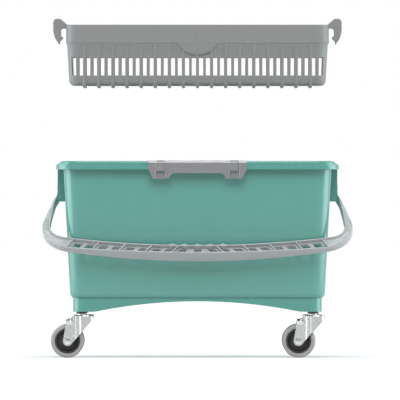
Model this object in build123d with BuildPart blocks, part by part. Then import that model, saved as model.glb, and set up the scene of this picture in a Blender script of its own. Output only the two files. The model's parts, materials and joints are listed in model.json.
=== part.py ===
from build123d import *
import os
from math import copysign, cos, radians, sin, sqrt, tan

# Mop bucket with a strainer basket, a swinging bail and four swivel castors.
# Millimetres, +Z up, X along the bucket, -Y to the front.
# The origin is on the floor under the middle of the tub.
os.makedirs("parts", exist_ok=True)

# Fits, clearances and the tolerance for picking edges by place
press_gap = 0.05
running_gap = 0.06
moving_gap = 0.3
pick = 0.01

# Castor wheel
wheel_radius = 25.0
wheel_width = 18.0
tread_thickness = 6.2
tread_round = 2.5
tread_bead = 1.0
core_rim = 3.4
core_web = 7.0
core_ring_radius = 13.6
core_ring_width = 1.6
core_ring_height = 2.2
hub_radius = 8.0
bush_wall = 1.0

# Castor fork, axle and swivel
axle_radius = 3.0
axle_head_radius = 5.2
axle_head_height = 1.8
axle_head_round = 1.2
trail = 21.7
head_rise = 38.9
fork_sheet = 2.0
fork_gap = 22.0
fork_nose = 17.7
fork_nose_height = 4.6
fork_nose_round = 6.0
fork_back = 14.5
fork_shoulder = 6.9
fork_shoulder_slope = 1.2
leg_end_radius = 7.2
leg_back_lean = 5.6
head_round = 3.0
tab_reach = 3.0
tab_height = 4.0
cup_offset = 4.0
cup_width = 15.0
cup_proud = 1.7
wheel_clearance = 2.0
pintle_radius = 4.0
ball_radius = 2.0
ball_ring_radius = 7.0
ball_count = 10
race_plate = 2.0
race_radius = 8.8
collar_radius = 5.9
collar_height = 1.7
stem_radius = 5.0
stem_length = 19.0
socket_wall = 1.9
socket_flange = 3.0
socket_flange_radius = 8.2
socket_flange_taper = 1.0
socket_roof = 1.0

# Castor places and the way each castor stands
castor_end_inset = 13.0
castor_side_inset = 14.5
castor_turn = {"front_left": 3.0, "front_right": -3.0, "rear_left": 2.0, "rear_right": -2.0}

# Tub
rim_length = 425.0
rim_depth = 210.0
rim_overhang = 11.5
rim_lip = 8.0
rim_slope = 5.0
rim_slope_run = 8.0
rim_lip_wall = 2.2
rim_web = 2.5
rim_lip_round = 2.2
rim_crest_round = 1.6
body_height = 193.0
body_corner = 21.0
body_draft = 2.86
body_wall = 2.4
body_foot_round = 6.0
floor_thickness = 3.0
floor_round = 7.0
skirt_height = 20.6
skirt_inset = 4.4
skirt_wall = 2.5
arch_rise = 15.7
arch_end_rise = 8.0
arch_margin = 9.5
boss_wall = 3.6
boss_rib = 2.4

# Ears and studs that carry the bail
ear_gap = 54.0
ear_wall = 3.0
ear_reach = 9.5
ear_drop = 48.0
ear_chamfer = 1.6
pivot_drop = 45.0
stud_radius = 6.0
stud_shoulder_radius = 10.0
stud_shoulder = 4.4
stud_head_radius = 8.4
stud_head = 1.6
stud_slit = 1.6

# Carry handle, a bail that hangs against the front wall
hang_angle = 39.0
eye_radius = 10.5
eye_wall = 3.6
eye_flat = 9.5
strap_rim_clearance = 0.9
strap_rise = 31.0
strap_depth = 17.0
strap_rim_thickness = 5.4
strap_corner_run = 56.0
strap_mid_inner = 8.3
strap_mid_thickness = 6.2
strap_slim_run = 16.0
strap_end_inner = 14.0
strap_end_thickness = 20.0
corner_inner_radius = 26.0
corner_outer_radius = 56.0
grip_half_length = 195.0
grip_end_clearance = 11.0
grip_middle_clearance = 29.2
grip_end_width = 24.5
grip_middle_width = 18.1
grip_top = 4.5
grip_end_bottom = 4.5
grip_middle_bottom = 13.0
lip_wall = 2.2
channel_depth = 5.4
channel_web = 2.5
channel_end = 6.0
rib_first = 34.0
rib_pitch = 40.3
rib_count = 5
rib_wall = 2.0
rib_lean = 11.5
hole_length = 12.5
hole_margin = 2.6
hole_offset = 10.0
scallop_pitch = 19.0
scallop_count = 5
scallop_height = 2.0

# Clip that snaps over the front rim
clip_length = 148.5
clip_wall = 2.5
clip_crown = 0.8
clip_top_round = 1.8
clip_foot_height = 27.5
clip_foot_inset = 7.0
clip_foot_length = 25.2
clip_foot_rise = 8.4
clip_foot_run = 9.3
clip_end_height = 12.0
clip_hook = 1.8
clip_slope_gap = 0.85
latch_offset = 55.0
latch_width = 17.0
latch_height = 12.0
latch_proud = 0.8
latch_top = 4.2
latch_edge = 1.5
latch_recess = 1.2
slot_length = 12.0
slot_width = 3.0

# Strainer basket, drawn out above the tub
swing_clearance = 2.5
basket_side_gap = 0.8
basket_wall = 2.0
band_height = 28.2
band_proud = 1.4
basket_height = 91.0
basket_draft = 3.6
basket_floor = 3.0
basket_floor_round = 6.0
foot_height = 3.2
foot_rib = 3.6
foot_rib_proud = 1.2
drain_pitch = 10.6
drain_width = 6.6
drain_top = 48.6
drain_height = 27.7
drain_margin = 4.0
floor_drain_length = 28.0
floor_drain_width = 11.0
floor_drain_pitch = 38.0
panel_width = 60.7
panel_drop = 17.4
panel_rib = 3.0
panel_rib_proud = 0.6
panel_rib_top = 8.3

# Hooks of the basket, moulded with it
hook_y = 62.0
hook_width = 12.0
hook_rise = 9.0
hook_reach = 19.4
hook_throat = 8.8
hook_throat_drop = 4.3
hook_barb = 5.6
hook_barb_top = 17.2
hook_barb_height = 3.6
hook_drop = 28.8
hook_tail = 10.8
hook_side_gap = 1.2
hook_wall = 3.0
hook_round = 3.4

# Heights worked out from the floor upwards
head_top_z = wheel_radius + head_rise
foot_z = head_top_z + moving_gap + collar_height + socket_flange
ledge_z = foot_z + skirt_height
floor_z = ledge_z + floor_thickness
rim_under_z = ledge_z + body_height
lip_top_z = rim_under_z + rim_lip
crest_z = lip_top_z + rim_slope
pivot_z = crest_z - pivot_drop

# Half sizes of the tub
slope = tan(radians(body_draft))
body_half_x = rim_length / 2 - rim_overhang
body_half_y = rim_depth / 2 - rim_overhang
rim_corner = body_corner + rim_overhang


def body_inset(z):
    """How far the tapered wall stands inside its size under the rim."""
    return (rim_under_z - z) * slope


def rounded_face(z, half_x, half_y, corner):
    """Rounded rectangle on the level z."""
    with BuildSketch(Plane.XY.offset(z)) as outline:
        RectangleRounded(2 * half_x, 2 * half_y, corner)
    return outline.sketch


def body_face(z, inset):
    """Section of the tapered body at z, drawn in by inset."""
    draw = body_inset(z) + inset
    return rounded_face(z, body_half_x - draw, body_half_y - draw, body_corner - inset)


def rim_face(z, inset):
    """Outline of the rim at z, drawn in by inset."""
    return rounded_face(z, rim_length / 2 - inset, rim_depth / 2 - inset, rim_corner - inset)


# Skirt, and the places shared by the tub and the castors
skirt_half_x = body_half_x - body_inset(ledge_z) - skirt_inset
skirt_half_y = body_half_y - body_inset(ledge_z) - skirt_inset
skirt_corner = body_corner - skirt_inset
castor_x = skirt_half_x - castor_end_inset
castor_y = skirt_half_y - castor_side_inset
corners = {"front_left": (-1, -1), "front_right": (1, -1), "rear_left": (-1, 1), "rear_right": (1, 1)}
castor_points = [(side_x * castor_x, side_y * castor_y) for side_x, side_y in corners.values()]
socket_radius = stem_radius + press_gap + socket_wall
boss_radius = socket_radius + press_gap + boss_wall
socket_depth = stem_length + socket_roof

# Inside of the tub
with BuildPart() as tub_inside:
    loft([body_face(floor_z, body_wall), body_face(crest_z, body_wall)], ruled=True)
    fillet(tub_inside.edges().group_by(Axis.Z)[0], floor_round)

# Tub, one moulding with rim, skirt, ears and studs
ear_face_x = body_half_x + ear_reach
ear_bottom_z = rim_under_z - ear_drop
ear_top_z = lip_top_z - rim_web / 2
ear_start_x = body_half_x - body_inset(ear_bottom_z) - body_wall
stud_start_x = body_half_x - body_inset(pivot_z) - body_wall / 2
stud_shoulder_x = body_half_x + stud_shoulder
eye_inner_x = stud_shoulder_x + moving_gap
eye_outer_x = eye_inner_x + eye_wall
stud_head_x = eye_outer_x + moving_gap
stud_end_x = stud_head_x + stud_head
stud_steps = [
    (stud_shoulder_radius, stud_start_x, stud_shoulder_x),
    (stud_radius, stud_start_x, stud_end_x),
    (stud_head_radius, stud_head_x, stud_end_x),
]
hook_seat_x = body_half_x + moving_gap + rim_slope * slope
arch_half = castor_x - boss_radius - arch_margin
arch_end_half = castor_y - boss_radius - arch_margin

with BuildPart() as bucket_tub:
    # Tapered body with a rounded foot
    loft([body_face(ledge_z, 0), body_face(rim_under_z, 0)], ruled=True)
    fillet(bucket_tub.edges().group_by(Axis.Z)[0], body_foot_round)
    # Rolled rim, sloping down to its outer lip and hollow below
    extrude(rim_face(rim_under_z, 0), amount=rim_lip)
    loft([rim_face(lip_top_z, 0), rim_face(crest_z, rim_slope_run)], ruled=True)
    fillet(bucket_tub.edges().group_by(Axis.Z)[-1], rim_crest_round)
    lip_edges = bucket_tub.edges().filter_by_position(Axis.Z, lip_top_z - pick, lip_top_z + pick)
    fillet(lip_edges, rim_lip_round)
    with BuildSketch(Plane.XY.offset(rim_under_z)):
        RectangleRounded(rim_length - 2 * rim_lip_wall, rim_depth - 2 * rim_lip_wall, rim_corner - rim_lip_wall)
        RectangleRounded(2 * body_half_x, 2 * body_half_y, body_corner, mode=Mode.SUBTRACT)
    extrude(amount=rim_lip - rim_web, mode=Mode.SUBTRACT)
    # Ears, two cheeks at each end
    for cheek_y in (ear_gap / 2, -ear_gap / 2 - ear_wall):
        with BuildSketch(Plane.XZ.offset(cheek_y)) as cheek:
            with Locations(((ear_start_x + ear_face_x) / 2, (ear_bottom_z + ear_top_z) / 2)):
                Rectangle(ear_face_x - ear_start_x, ear_top_z - ear_bottom_z)
            chamfer(cheek.vertices().sort_by_distance((ear_face_x, ear_bottom_z))[0], ear_chamfer)
            mirror(about=Plane.YZ)
        extrude(amount=ear_wall)
    # Studs for the bail, with a split head
    for side in (-1, 1):
        for radius, start, end in stud_steps:
            with Locations((side * (start + end) / 2, 0, pivot_z)):
                Cylinder(radius, end - start, rotation=(0, 90, 0))
        with Locations((side * (stud_shoulder_x + stud_end_x) / 2, 0, pivot_z)):
            Box(stud_end_x - stud_shoulder_x, 2 * stud_head_radius, stud_slit, mode=Mode.SUBTRACT)
    # Skirt with arched edges
    with BuildSketch(Plane.XY.offset(foot_z)):
        RectangleRounded(2 * skirt_half_x, 2 * skirt_half_y, skirt_corner)
        inner_corner = skirt_corner - skirt_wall
        RectangleRounded(2 * (skirt_half_x - skirt_wall), 2 * (skirt_half_y - skirt_wall), inner_corner,
                         mode=Mode.SUBTRACT)
    extrude(amount=skirt_height + floor_thickness / 2)
    for plane, half, rise in ((Plane.XZ, arch_half, arch_rise), (Plane.YZ, arch_end_half, arch_end_rise)):
        with BuildSketch(plane):
            with BuildLine():
                ThreePointArc((-half, foot_z), (0, foot_z + rise), (half, foot_z))
                Line((half, foot_z), (-half, foot_z))
            make_face()
        extrude(amount=rim_length, both=True, mode=Mode.SUBTRACT)
    # Castor bosses, tied to the skirt by ribs
    rib_height = skirt_height + floor_thickness / 2
    with Locations([(x, y, foot_z) for x, y in castor_points]):
        Cylinder(boss_radius, rib_height, align=(Align.CENTER, Align.CENTER, Align.MIN))
    skirt_x = skirt_half_x - skirt_wall / 2
    skirt_y = skirt_half_y - skirt_wall / 2
    for side_x, side_y in corners.values():
        with Locations((side_x * (skirt_x + castor_x) / 2, side_y * castor_y, foot_z + rib_height / 2)):
            Box(skirt_x - castor_x, boss_rib, rib_height)
        with Locations((side_x * castor_x, side_y * (skirt_y + castor_y) / 2, foot_z + rib_height / 2)):
            Box(boss_rib, skirt_y - castor_y, rib_height)
    with Locations([(x, y, foot_z) for x, y in castor_points]):
        Cylinder(socket_radius + press_gap, socket_depth, align=(Align.CENTER, Align.CENTER, Align.MIN),
                 mode=Mode.SUBTRACT)
    # Hollow inside, and notches in the end rims for the basket's hooks
    add(tub_inside.part, mode=Mode.SUBTRACT)
    notch_width = hook_width + 2 * hook_side_gap
    notch_x = (hook_seat_x + rim_length) / 2
    notch_points = [(side_x * notch_x, side_y * hook_y, crest_z) for side_x, side_y in corners.values()]
    with Locations(notch_points):
        Box(rim_length - hook_seat_x, notch_width, 2 * ear_drop, mode=Mode.SUBTRACT)
bucket_tub.part.label = "bucket_tub"
export_step(bucket_tub.part, "parts/bucket_tub.step")

# Clip on the front rim
clip_half = clip_length / 2
clip_top_z = crest_z + clip_crown
clip_back = rim_depth / 2 + press_gap
clip_front = clip_back + clip_wall
clip_foot_z = clip_top_z - clip_foot_height
clip_waist_z = clip_foot_z + clip_foot_rise
foot_out = clip_half - clip_foot_inset
foot_in = foot_out - clip_foot_length
waist_x = foot_in - clip_foot_run
crest_y = rim_depth / 2 - rim_slope_run
latch_top_z = clip_top_z - latch_top
latch_foot_z = latch_top_z - latch_height

with BuildPart() as rim_clip:
    # Front plate with two feet
    with BuildSketch(Plane.XZ.offset(clip_back)):
        with BuildLine():
            end_z = clip_top_z - clip_end_height
            Polyline((0, clip_top_z), (clip_half, clip_top_z), (clip_half, end_z), (foot_out, clip_foot_z),
                     (foot_in, clip_foot_z))
            TangentArc((foot_in, clip_foot_z), (waist_x, clip_waist_z), tangent=(-0.15, 1))
            Polyline((waist_x, clip_waist_z), (0, clip_waist_z), (0, clip_top_z))
        make_face()
        mirror(about=Plane.YZ)
    extrude(amount=clip_wall)
    # Top wedge that lies on the rim's slope
    with BuildSketch(Plane.YZ):
        with BuildLine():
            Polyline((-crest_y, clip_top_z), (-clip_back, clip_top_z), (-clip_back, lip_top_z + clip_slope_gap),
                     (-crest_y, crest_z + press_gap), close=True)
        make_face()
    extrude(amount=clip_half, both=True)
    top_front = rim_clip.edges().filter_by(Axis.X).filter_by_position(
        Axis.Y, -clip_front - pick, -clip_front + pick).sort_by(Axis.Z)[-1]
    fillet(top_front, clip_top_round)
    # Latch plates between upright edges, hooked under the rim's lip, with a recess below and a slot above
    for side in (-1, 1):
        latch_x = side * latch_offset
        with Locations((latch_x, -clip_front, (latch_top_z + latch_foot_z) / 2)):
            Box(latch_width, 2 * latch_proud, latch_height)
        with Locations((latch_x, -clip_back + clip_hook / 2, rim_under_z - press_gap - clip_hook / 2)):
            Box(latch_width, clip_hook + clip_wall, clip_hook)
        with Locations((latch_x, -clip_front, (latch_foot_z + clip_foot_z) / 2)):
            Box(latch_width, 2 * latch_recess, latch_foot_z - clip_foot_z, mode=Mode.SUBTRACT)
        for edge in (-1, 1):
            edge_x = latch_x + edge * (latch_width - latch_edge) / 2
            with Locations((edge_x, -clip_front + latch_recess / 2, (latch_top_z + clip_foot_z) / 2)):
                Box(latch_edge, 2 * latch_proud + latch_recess, latch_top_z - clip_foot_z)
        with Locations((latch_x, -clip_back + slot_width / 2, clip_top_z)):
            Box(slot_length, slot_width, 4 * rim_slope, mode=Mode.SUBTRACT)
rim_clip.part.label = "rim_clip"
export_step(rim_clip.part, "parts/rim_clip.step")

# Reach of the grip's edges from the pivot, at its ends and in its middle
grip_inner_end = rim_depth / 2 + grip_end_clearance
grip_inner_middle = rim_depth / 2 + grip_middle_clearance
grip_outer_end = grip_inner_end + grip_end_width
grip_outer_middle = grip_inner_middle + grip_middle_width
strap_mid_reach = grip_inner_end - strap_corner_run
strap_end_reach = grip_inner_end - strap_slim_run

# Planes of the hanging bail: its own plane, its side and its front
hang = radians(hang_angle)
outward = Vector(0, -cos(hang), -sin(hang))
upward = Vector(0, -sin(hang), cos(hang))
pivot = Vector(0, 0, pivot_z)
bail_plane = Plane(origin=pivot, x_dir=(1, 0, 0), z_dir=upward)
side_plane = Plane(origin=pivot, x_dir=outward, z_dir=(-1, 0, 0))
bail_reach = grip_outer_middle + eye_radius
front_plane = Plane(origin=pivot + outward * (strap_end_reach - moving_gap), x_dir=(1, 0, 0), z_dir=outward)


def bow(x, middle, end):
    """Reach of a grip edge at x, on the arc through its middle and its ends."""
    sag = middle - end
    radius = (grip_half_length ** 2 + sag ** 2) / (2 * sag)
    return middle - radius + sqrt(radius ** 2 - x ** 2)


def grip_channel(inset):
    """Channel between the lips of the grip, crossed by leaning ribs, in the bail's plane."""
    end_x = grip_half_length - channel_end
    with BuildSketch() as channel:
        with BuildLine():
            for middle, end, shift in ((grip_inner_middle, grip_inner_end, inset),
                                       (grip_outer_middle, grip_outer_end, -inset)):
                points = [(x, -bow(x, middle, end) - shift) for x in (-end_x, 0, end_x)]
                ThreePointArc(*points)
            for x in (-end_x, end_x):
                Line((x, -bow(x, grip_inner_middle, grip_inner_end) - inset),
                     (x, -bow(x, grip_outer_middle, grip_outer_end) + inset))
        make_face()
        for k in range(rib_count):
            x = rib_first + k * rib_pitch
            inner = bow(x, grip_inner_middle, grip_inner_end)
            outer = bow(x, grip_outer_middle, grip_outer_end)
            lean = rib_lean / 2
            with BuildLine():
                Polyline((x - lean - rib_wall / 2, -inner), (x - lean + rib_wall / 2, -inner),
                         (x + lean + rib_wall / 2, -outer), (x + lean - rib_wall / 2, -outer), close=True)
            make_face(mode=Mode.SUBTRACT)
        mirror(about=Plane.YZ, mode=Mode.INTERSECT)
    return channel.sketch


# Depth of the bail: deep straps, a slim corner and a grip that deepens to its middle
with BuildPart() as bail_depth:
    with BuildSketch(side_plane):
        Circle(eye_radius)
        with BuildLine():
            half_strap = strap_depth / 2
            Polyline((0, half_strap), (strap_mid_reach, half_strap), (strap_end_reach, grip_top),
                     (strap_end_reach, -grip_end_bottom), (strap_mid_reach, -half_strap), (0, -half_strap),
                     close=True)
        make_face()
    extrude(amount=rim_length, both=True)
    with BuildSketch(front_plane):
        with BuildLine():
            Polyline((grip_half_length, -grip_end_bottom), (rim_length, -grip_end_bottom),
                     (rim_length, grip_top), (-rim_length, grip_top), (-rim_length, -grip_end_bottom),
                     (-grip_half_length, -grip_end_bottom))
            ThreePointArc((-grip_half_length, -grip_end_bottom), (0, -grip_middle_bottom),
                          (grip_half_length, -grip_end_bottom))
        make_face()
    extrude(amount=bail_reach)

# Row of finger scallops that stands on the back lip of the grip
scallop_half = scallop_pitch * scallop_count / 2
with BuildPart() as lip_scallops:
    with BuildSketch(bail_plane.offset(grip_top - lip_wall)):
        with BuildLine():
            for shift in (0, lip_wall):
                ThreePointArc(*[(x, -bow(x, grip_inner_middle, grip_inner_end) - shift)
                                for x in (-scallop_half, 0, scallop_half)])
            lip_reach = bow(scallop_half, grip_inner_middle, grip_inner_end)
            for x in (-scallop_half, scallop_half):
                Line((x, -lip_reach), (x, -lip_reach - lip_wall))
        make_face()
    extrude(amount=lip_wall + scallop_height)
    scallop_radius = ((scallop_pitch / 2) ** 2 + scallop_height ** 2) / (2 * scallop_height)
    with BuildSketch(front_plane):
        with Locations((0, grip_top + scallop_radius)):
            with GridLocations(scallop_pitch, 1, scallop_count + 1, 1):
                Circle(scallop_radius)
    extrude(amount=bail_reach, mode=Mode.SUBTRACT)

# Carry handle
rim_half = rim_length / 2
corner_inner_x = rim_half + strap_end_inner
corner_outer_x = corner_inner_x + strap_end_thickness
corner_inner = (corner_inner_x, -bow(corner_inner_x, grip_inner_middle, grip_inner_end))
corner_outer = (corner_outer_x, -bow(corner_outer_x, grip_outer_middle, grip_outer_end))
strap_inner = [
    (eye_inner_x, eye_radius),
    (eye_inner_x, -eye_flat),
    (rim_half + strap_rim_clearance, -strap_rise),
    (rim_half + strap_mid_inner, -strap_mid_reach),
    corner_inner,
]
strap_outer = [
    (eye_outer_x, eye_radius),
    (eye_outer_x, -eye_flat),
    (rim_half + strap_rim_clearance + strap_rim_thickness, -strap_rise),
    (rim_half + strap_mid_inner + strap_mid_thickness, -strap_mid_reach),
    corner_outer,
]

with BuildPart() as carry_handle:
    with BuildSketch(bail_plane) as bail_plan:
        with BuildLine():
            Polyline(*reversed(strap_inner), *strap_outer)
            for corner, middle, end in ((corner_inner, grip_inner_middle, grip_inner_end),
                                        (corner_outer, grip_outer_middle, grip_outer_end)):
                half_x = corner[0] / 2
                ThreePointArc((0, -middle), (half_x, -bow(half_x, middle, end)), corner)
            Line((0, -grip_outer_middle), (0, -grip_inner_middle))
        make_face()
        for point, radius in ((corner_inner, corner_inner_radius), (corner_outer, corner_outer_radius)):
            fillet(bail_plan.vertices().sort_by_distance(point)[0], radius)
        mirror(about=Plane.YZ)
    extrude(amount=grip_middle_bottom + eye_radius, both=True)
    add(bail_depth.part, mode=Mode.INTERSECT)
    # Channels above and below a web, with leaning ribs
    channel = grip_channel(lip_wall)
    web_top = grip_top - channel_depth
    extrude(bail_plane.offset(web_top) * channel, amount=2 * channel_depth, mode=Mode.SUBTRACT)
    extrude(bail_plane.offset(web_top - channel_web) * channel, amount=-2 * grip_middle_bottom,
            mode=Mode.SUBTRACT)
    # Holes through the web, two in each cell
    hole_x = [rib_first + k * rib_pitch + hole_offset for k in range(rib_count - 1)]
    hole_x += [rib_first + k * rib_pitch - hole_offset for k in range(rib_count)]
    with BuildSketch(bail_plane) as web_holes:
        for x in [0] + hole_x + [-x for x in hole_x]:
            inner = bow(x, grip_inner_middle, grip_inner_end) + lip_wall + hole_margin
            outer = bow(x, grip_outer_middle, grip_outer_end) - lip_wall - hole_margin
            lean = copysign(min(rib_lean / 4, abs(x)), x)
            with BuildLine():
                Polyline((x - lean - hole_length / 2, -inner), (x - lean + hole_length / 2, -inner),
                         (x + lean + hole_length / 2, -outer), (x + lean - hole_length / 2, -outer), close=True)
            make_face()
    extrude(amount=2 * channel_depth, both=True, mode=Mode.SUBTRACT)
    # Finger scallops on the back lip, and the bores of the eyes
    add(lip_scallops.part)
    with Locations(pivot):
        Cylinder(stud_radius + running_gap, 2 * rim_length, rotation=(0, 90, 0), mode=Mode.SUBTRACT)
carry_handle.part.label = "carry_handle"
export_step(carry_handle.part, "parts/carry_handle.step")

# Strainer basket, hung from the end rims by four hooks
seat_z = crest_z + moving_gap
swing_radius = sqrt(grip_outer_middle ** 2 + grip_middle_bottom ** 2)
basket_bottom_z = pivot_z + swing_radius + swing_clearance + foot_height
basket_top_z = basket_bottom_z + basket_height
basket_lift = basket_top_z - hook_throat_drop - seat_z
band_bottom_z = basket_top_z - band_height
seated_band_z = band_bottom_z - basket_lift
seated_panel_z = seated_band_z - panel_drop
band_half_x = body_half_x - body_inset(seated_band_z) - body_wall - basket_side_gap
band_half_y = body_half_y - body_inset(seated_panel_z) - body_wall - panel_rib_proud - basket_side_gap
basket_half_x = band_half_x - band_proud
basket_half_y = band_half_y - band_proud
band_corner = body_corner - body_wall - basket_side_gap
foot_half_y = basket_half_y - basket_draft
drain_z = basket_top_z - drain_top - drain_height / 2
drain_columns = 2 * int((basket_half_x - drain_margin) / drain_pitch)
drain_end_columns = 2 * int((basket_half_y - drain_margin) / drain_pitch)
foot_rib_pitch = 2 * drain_pitch
foot_rib_count = drain_columns // 2 - 1
floor_drain_rows = int(2 * foot_half_y / floor_drain_pitch)


def basket_face(z, inset):
    """Section of the tapered basket at z, drawn in by inset."""
    draw = basket_draft * (band_bottom_z - z) / (band_bottom_z - basket_bottom_z) + inset
    return rounded_face(z, basket_half_x - draw, basket_half_y - draw, band_corner - band_proud - draw)


with BuildPart() as basket_inside:
    loft([basket_face(basket_bottom_z + basket_floor, basket_wall), basket_face(basket_top_z, basket_wall)],
         ruled=True)
    fillet(basket_inside.edges().group_by(Axis.Z)[0], basket_floor_round - basket_wall)

with BuildPart() as strainer_basket:
    # Tapered sides under a thicker band
    loft([basket_face(basket_bottom_z, 0), basket_face(band_bottom_z, 0)], ruled=True)
    fillet(strainer_basket.edges().group_by(Axis.Z)[0], basket_floor_round)
    extrude(rounded_face(band_bottom_z, band_half_x, band_half_y, band_corner), amount=band_height)
    # Upright ribs on the long sides, carried under the floor as feet
    for k in range(foot_rib_count):
        rib_x = (k - (foot_rib_count - 1) / 2) * foot_rib_pitch
        with BuildSketch(Plane.YZ.offset(rib_x - foot_rib / 2)) as rib:
            with BuildLine():
                top_y = basket_half_y + foot_rib_proud
                low_y = foot_half_y + foot_rib_proud
                low_z = basket_bottom_z - foot_height
                Polyline((-top_y, band_bottom_z), (top_y, band_bottom_z), (low_y, low_z), (-low_y, low_z),
                         close=True)
            make_face()
            fillet(rib.vertices().group_by(Axis.Y)[0], basket_floor_round)
        extrude(amount=foot_rib)
    # Plain half-round panel in the middle of each long side, with an upright rib
    with BuildSketch(Plane.XZ):
        with BuildLine():
            ThreePointArc((-panel_width / 2, band_bottom_z), (0, band_bottom_z - panel_drop),
                          (panel_width / 2, band_bottom_z))
            Line((panel_width / 2, band_bottom_z), (-panel_width / 2, band_bottom_z))
        make_face()
    extrude(amount=band_half_y, both=True)
    panel_rib_height = band_height + panel_drop - panel_rib_top
    with Locations((0, 0, basket_top_z - panel_rib_top - panel_rib_height / 2)):
        Box(panel_rib, 2 * (band_half_y + panel_rib_proud), panel_rib_height)
    # Hooks, one profile at each end
    hook_root_x = band_half_x - band_proud - basket_wall
    hook_tip_z = basket_top_z - hook_drop
    barb_z = basket_top_z - hook_barb_top
    for hook_side in (hook_y, -hook_y):
        with BuildSketch(Plane.XZ.offset(hook_side - hook_width / 2)) as hook:
            with BuildLine():
                Polyline(
                    (hook_root_x, basket_top_z),
                    (band_half_x + hook_throat, basket_top_z + hook_rise),
                    (band_half_x + hook_reach, basket_top_z + hook_rise),
                    (band_half_x + hook_reach, barb_z + hook_throat),
                    (band_half_x + hook_reach - hook_wall, barb_z - hook_barb_height),
                    (band_half_x + hook_tail, hook_tip_z),
                    (band_half_x + hook_barb, barb_z - hook_barb_height / 2),
                    (band_half_x + hook_throat, barb_z),
                    (band_half_x + hook_throat, basket_top_z - hook_throat_drop),
                    (band_half_x, basket_top_z - hook_throat_drop),
                    (hook_root_x, basket_top_z - band_height / 2),
                    close=True)
            make_face()
            for corner in ((band_half_x + hook_throat, basket_top_z + hook_rise),
                           (band_half_x + hook_reach, basket_top_z + hook_rise)):
                fillet(hook.vertices().sort_by_distance(corner)[0], hook_round)
            mirror(about=Plane.YZ)
        extrude(amount=hook_width)
    # Hollow inside, then the drain slots of the sides and the floor
    add(basket_inside.part, mode=Mode.SUBTRACT)
    with Locations((0, 0, drain_z)):
        with GridLocations(drain_pitch, 1, drain_columns, 1):
            Box(drain_width, rim_depth, drain_height, mode=Mode.SUBTRACT)
        with GridLocations(1, drain_pitch, 1, drain_end_columns):
            Box(rim_length, drain_width, drain_height, mode=Mode.SUBTRACT)
    with Locations((0, 0, basket_bottom_z)):
        with GridLocations(foot_rib_pitch, floor_drain_pitch, foot_rib_count - 1, floor_drain_rows):
            Box(floor_drain_width, floor_drain_length, 4 * basket_floor, mode=Mode.SUBTRACT)
strainer_basket.part.label = "strainer_basket"
export_step(strainer_basket.part, "parts/strainer_basket.step")

# Castor, drawn once with its swivel axis on Z and its wheel trailing to -X
axle_z = wheel_radius
fork_half = fork_gap / 2 + fork_sheet
hub_half = fork_gap / 2 - moving_gap
bush_bore = axle_radius + running_gap
bush_radius = bush_bore + bush_wall
core_radius = wheel_radius - tread_thickness
wheel_plane = Plane(origin=(-trail, 0, axle_z), x_dir=(1, 0, 0), z_dir=(0, -1, 0))
nose_z = head_top_z - fork_nose_height
leg_top_z = head_top_z - fork_shoulder
tab_start_x = -trail - leg_end_radius + leg_back_lean


with BuildPart() as wheel_tread:
    with BuildSketch(Plane.XZ) as tread_section:
        with Locations((wheel_radius - tread_thickness / 2 + press_gap / 2, 0)):
            Rectangle(tread_thickness - press_gap, wheel_width)
        fillet(tread_section.vertices().group_by(Axis.X)[-1], tread_round)
    revolve(axis=Axis.Z)

with BuildPart() as wheel_core:
    rings = [
        (bush_radius + press_gap, hub_radius, hub_half),
        (hub_radius, core_radius, core_web / 2),
        (core_radius - core_rim, core_radius, wheel_width / 2 - tread_bead),
        (core_ring_radius - core_ring_width / 2, core_ring_radius + core_ring_width / 2,
         core_web / 2 + core_ring_height),
    ]
    with BuildSketch(Plane.XZ):
        for inner, outer, half_width in rings:
            with Locations(((inner + outer) / 2, 0)):
                Rectangle(outer - inner, 2 * half_width)
    revolve(axis=Axis.Z)

with BuildPart() as wheel_bush:
    Cylinder(bush_radius, 2 * hub_half)
    Cylinder(bush_bore, 2 * hub_half, mode=Mode.SUBTRACT)

with BuildPart() as castor_axle:
    Cylinder(axle_radius, 2 * fork_half)
    for side in (-1, 1):
        with Locations((0, 0, side * (fork_half + axle_head_height / 2))):
            Cylinder(axle_head_radius, axle_head_height)
    head_edges = castor_axle.edges().filter_by(GeomType.CIRCLE)
    fillet([head_edges.sort_by(Axis.Z)[0], head_edges.sort_by(Axis.Z)[-1]], axle_head_round)


def fork_side():
    """Side outline of the fork: a flat head, a beak in front and legs that lean to the axle."""
    lean = Vector(fork_nose + trail, nose_z - axle_z).normalized()
    edge = Vector(lean.Y, -lean.X) * leg_end_radius
    foot = Vector(-trail, axle_z)
    with BuildSketch(Plane.XZ) as outline:
        with BuildLine():
            Polyline(
                (-trail - leg_end_radius, axle_z),
                (tab_start_x, leg_top_z),
                (-fork_back, leg_top_z + fork_shoulder_slope),
                (-fork_back, head_top_z),
                (fork_nose, head_top_z),
                (fork_nose, nose_z),
                (foot.X + edge.X, foot.Y + edge.Y),
                (foot.X, foot.Y),
                close=True)
        make_face()
        with Locations((foot.X, foot.Y)):
            Circle(leg_end_radius)
    return outline.sketch


def fork_plan(half_width, nose, corner):
    """Plan of the fork: straight cheeks and a nose with round corners."""
    with BuildSketch() as outline:
        with Locations((nose - wheel_radius - trail, 0)):
            Rectangle(2 * (wheel_radius + trail), 2 * half_width)
        fillet(outline.vertices().group_by(Axis.X)[-1], corner)
    return outline.sketch


# Space inside the fork, open downwards and behind
with BuildPart() as fork_inside:
    inside = fork_plan(fork_gap / 2, fork_nose - fork_sheet, fork_nose_round - fork_sheet)
    extrude(inside, amount=head_top_z - fork_sheet)
    with BuildSketch(Plane.XZ):
        with BuildLine():
            lean = Vector(fork_nose + trail, nose_z - axle_z).normalized()
            drop = fork_sheet / lean.X
            Polyline((-trail - 2 * wheel_radius, 0), (-trail - 2 * wheel_radius, head_top_z),
                     (fork_nose, head_top_z), (fork_nose, nose_z + drop),
                     (-trail, axle_z + drop), (-trail, 0), close=True)
        make_face()
    extrude(amount=fork_half, both=True, mode=Mode.INTERSECT)

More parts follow.
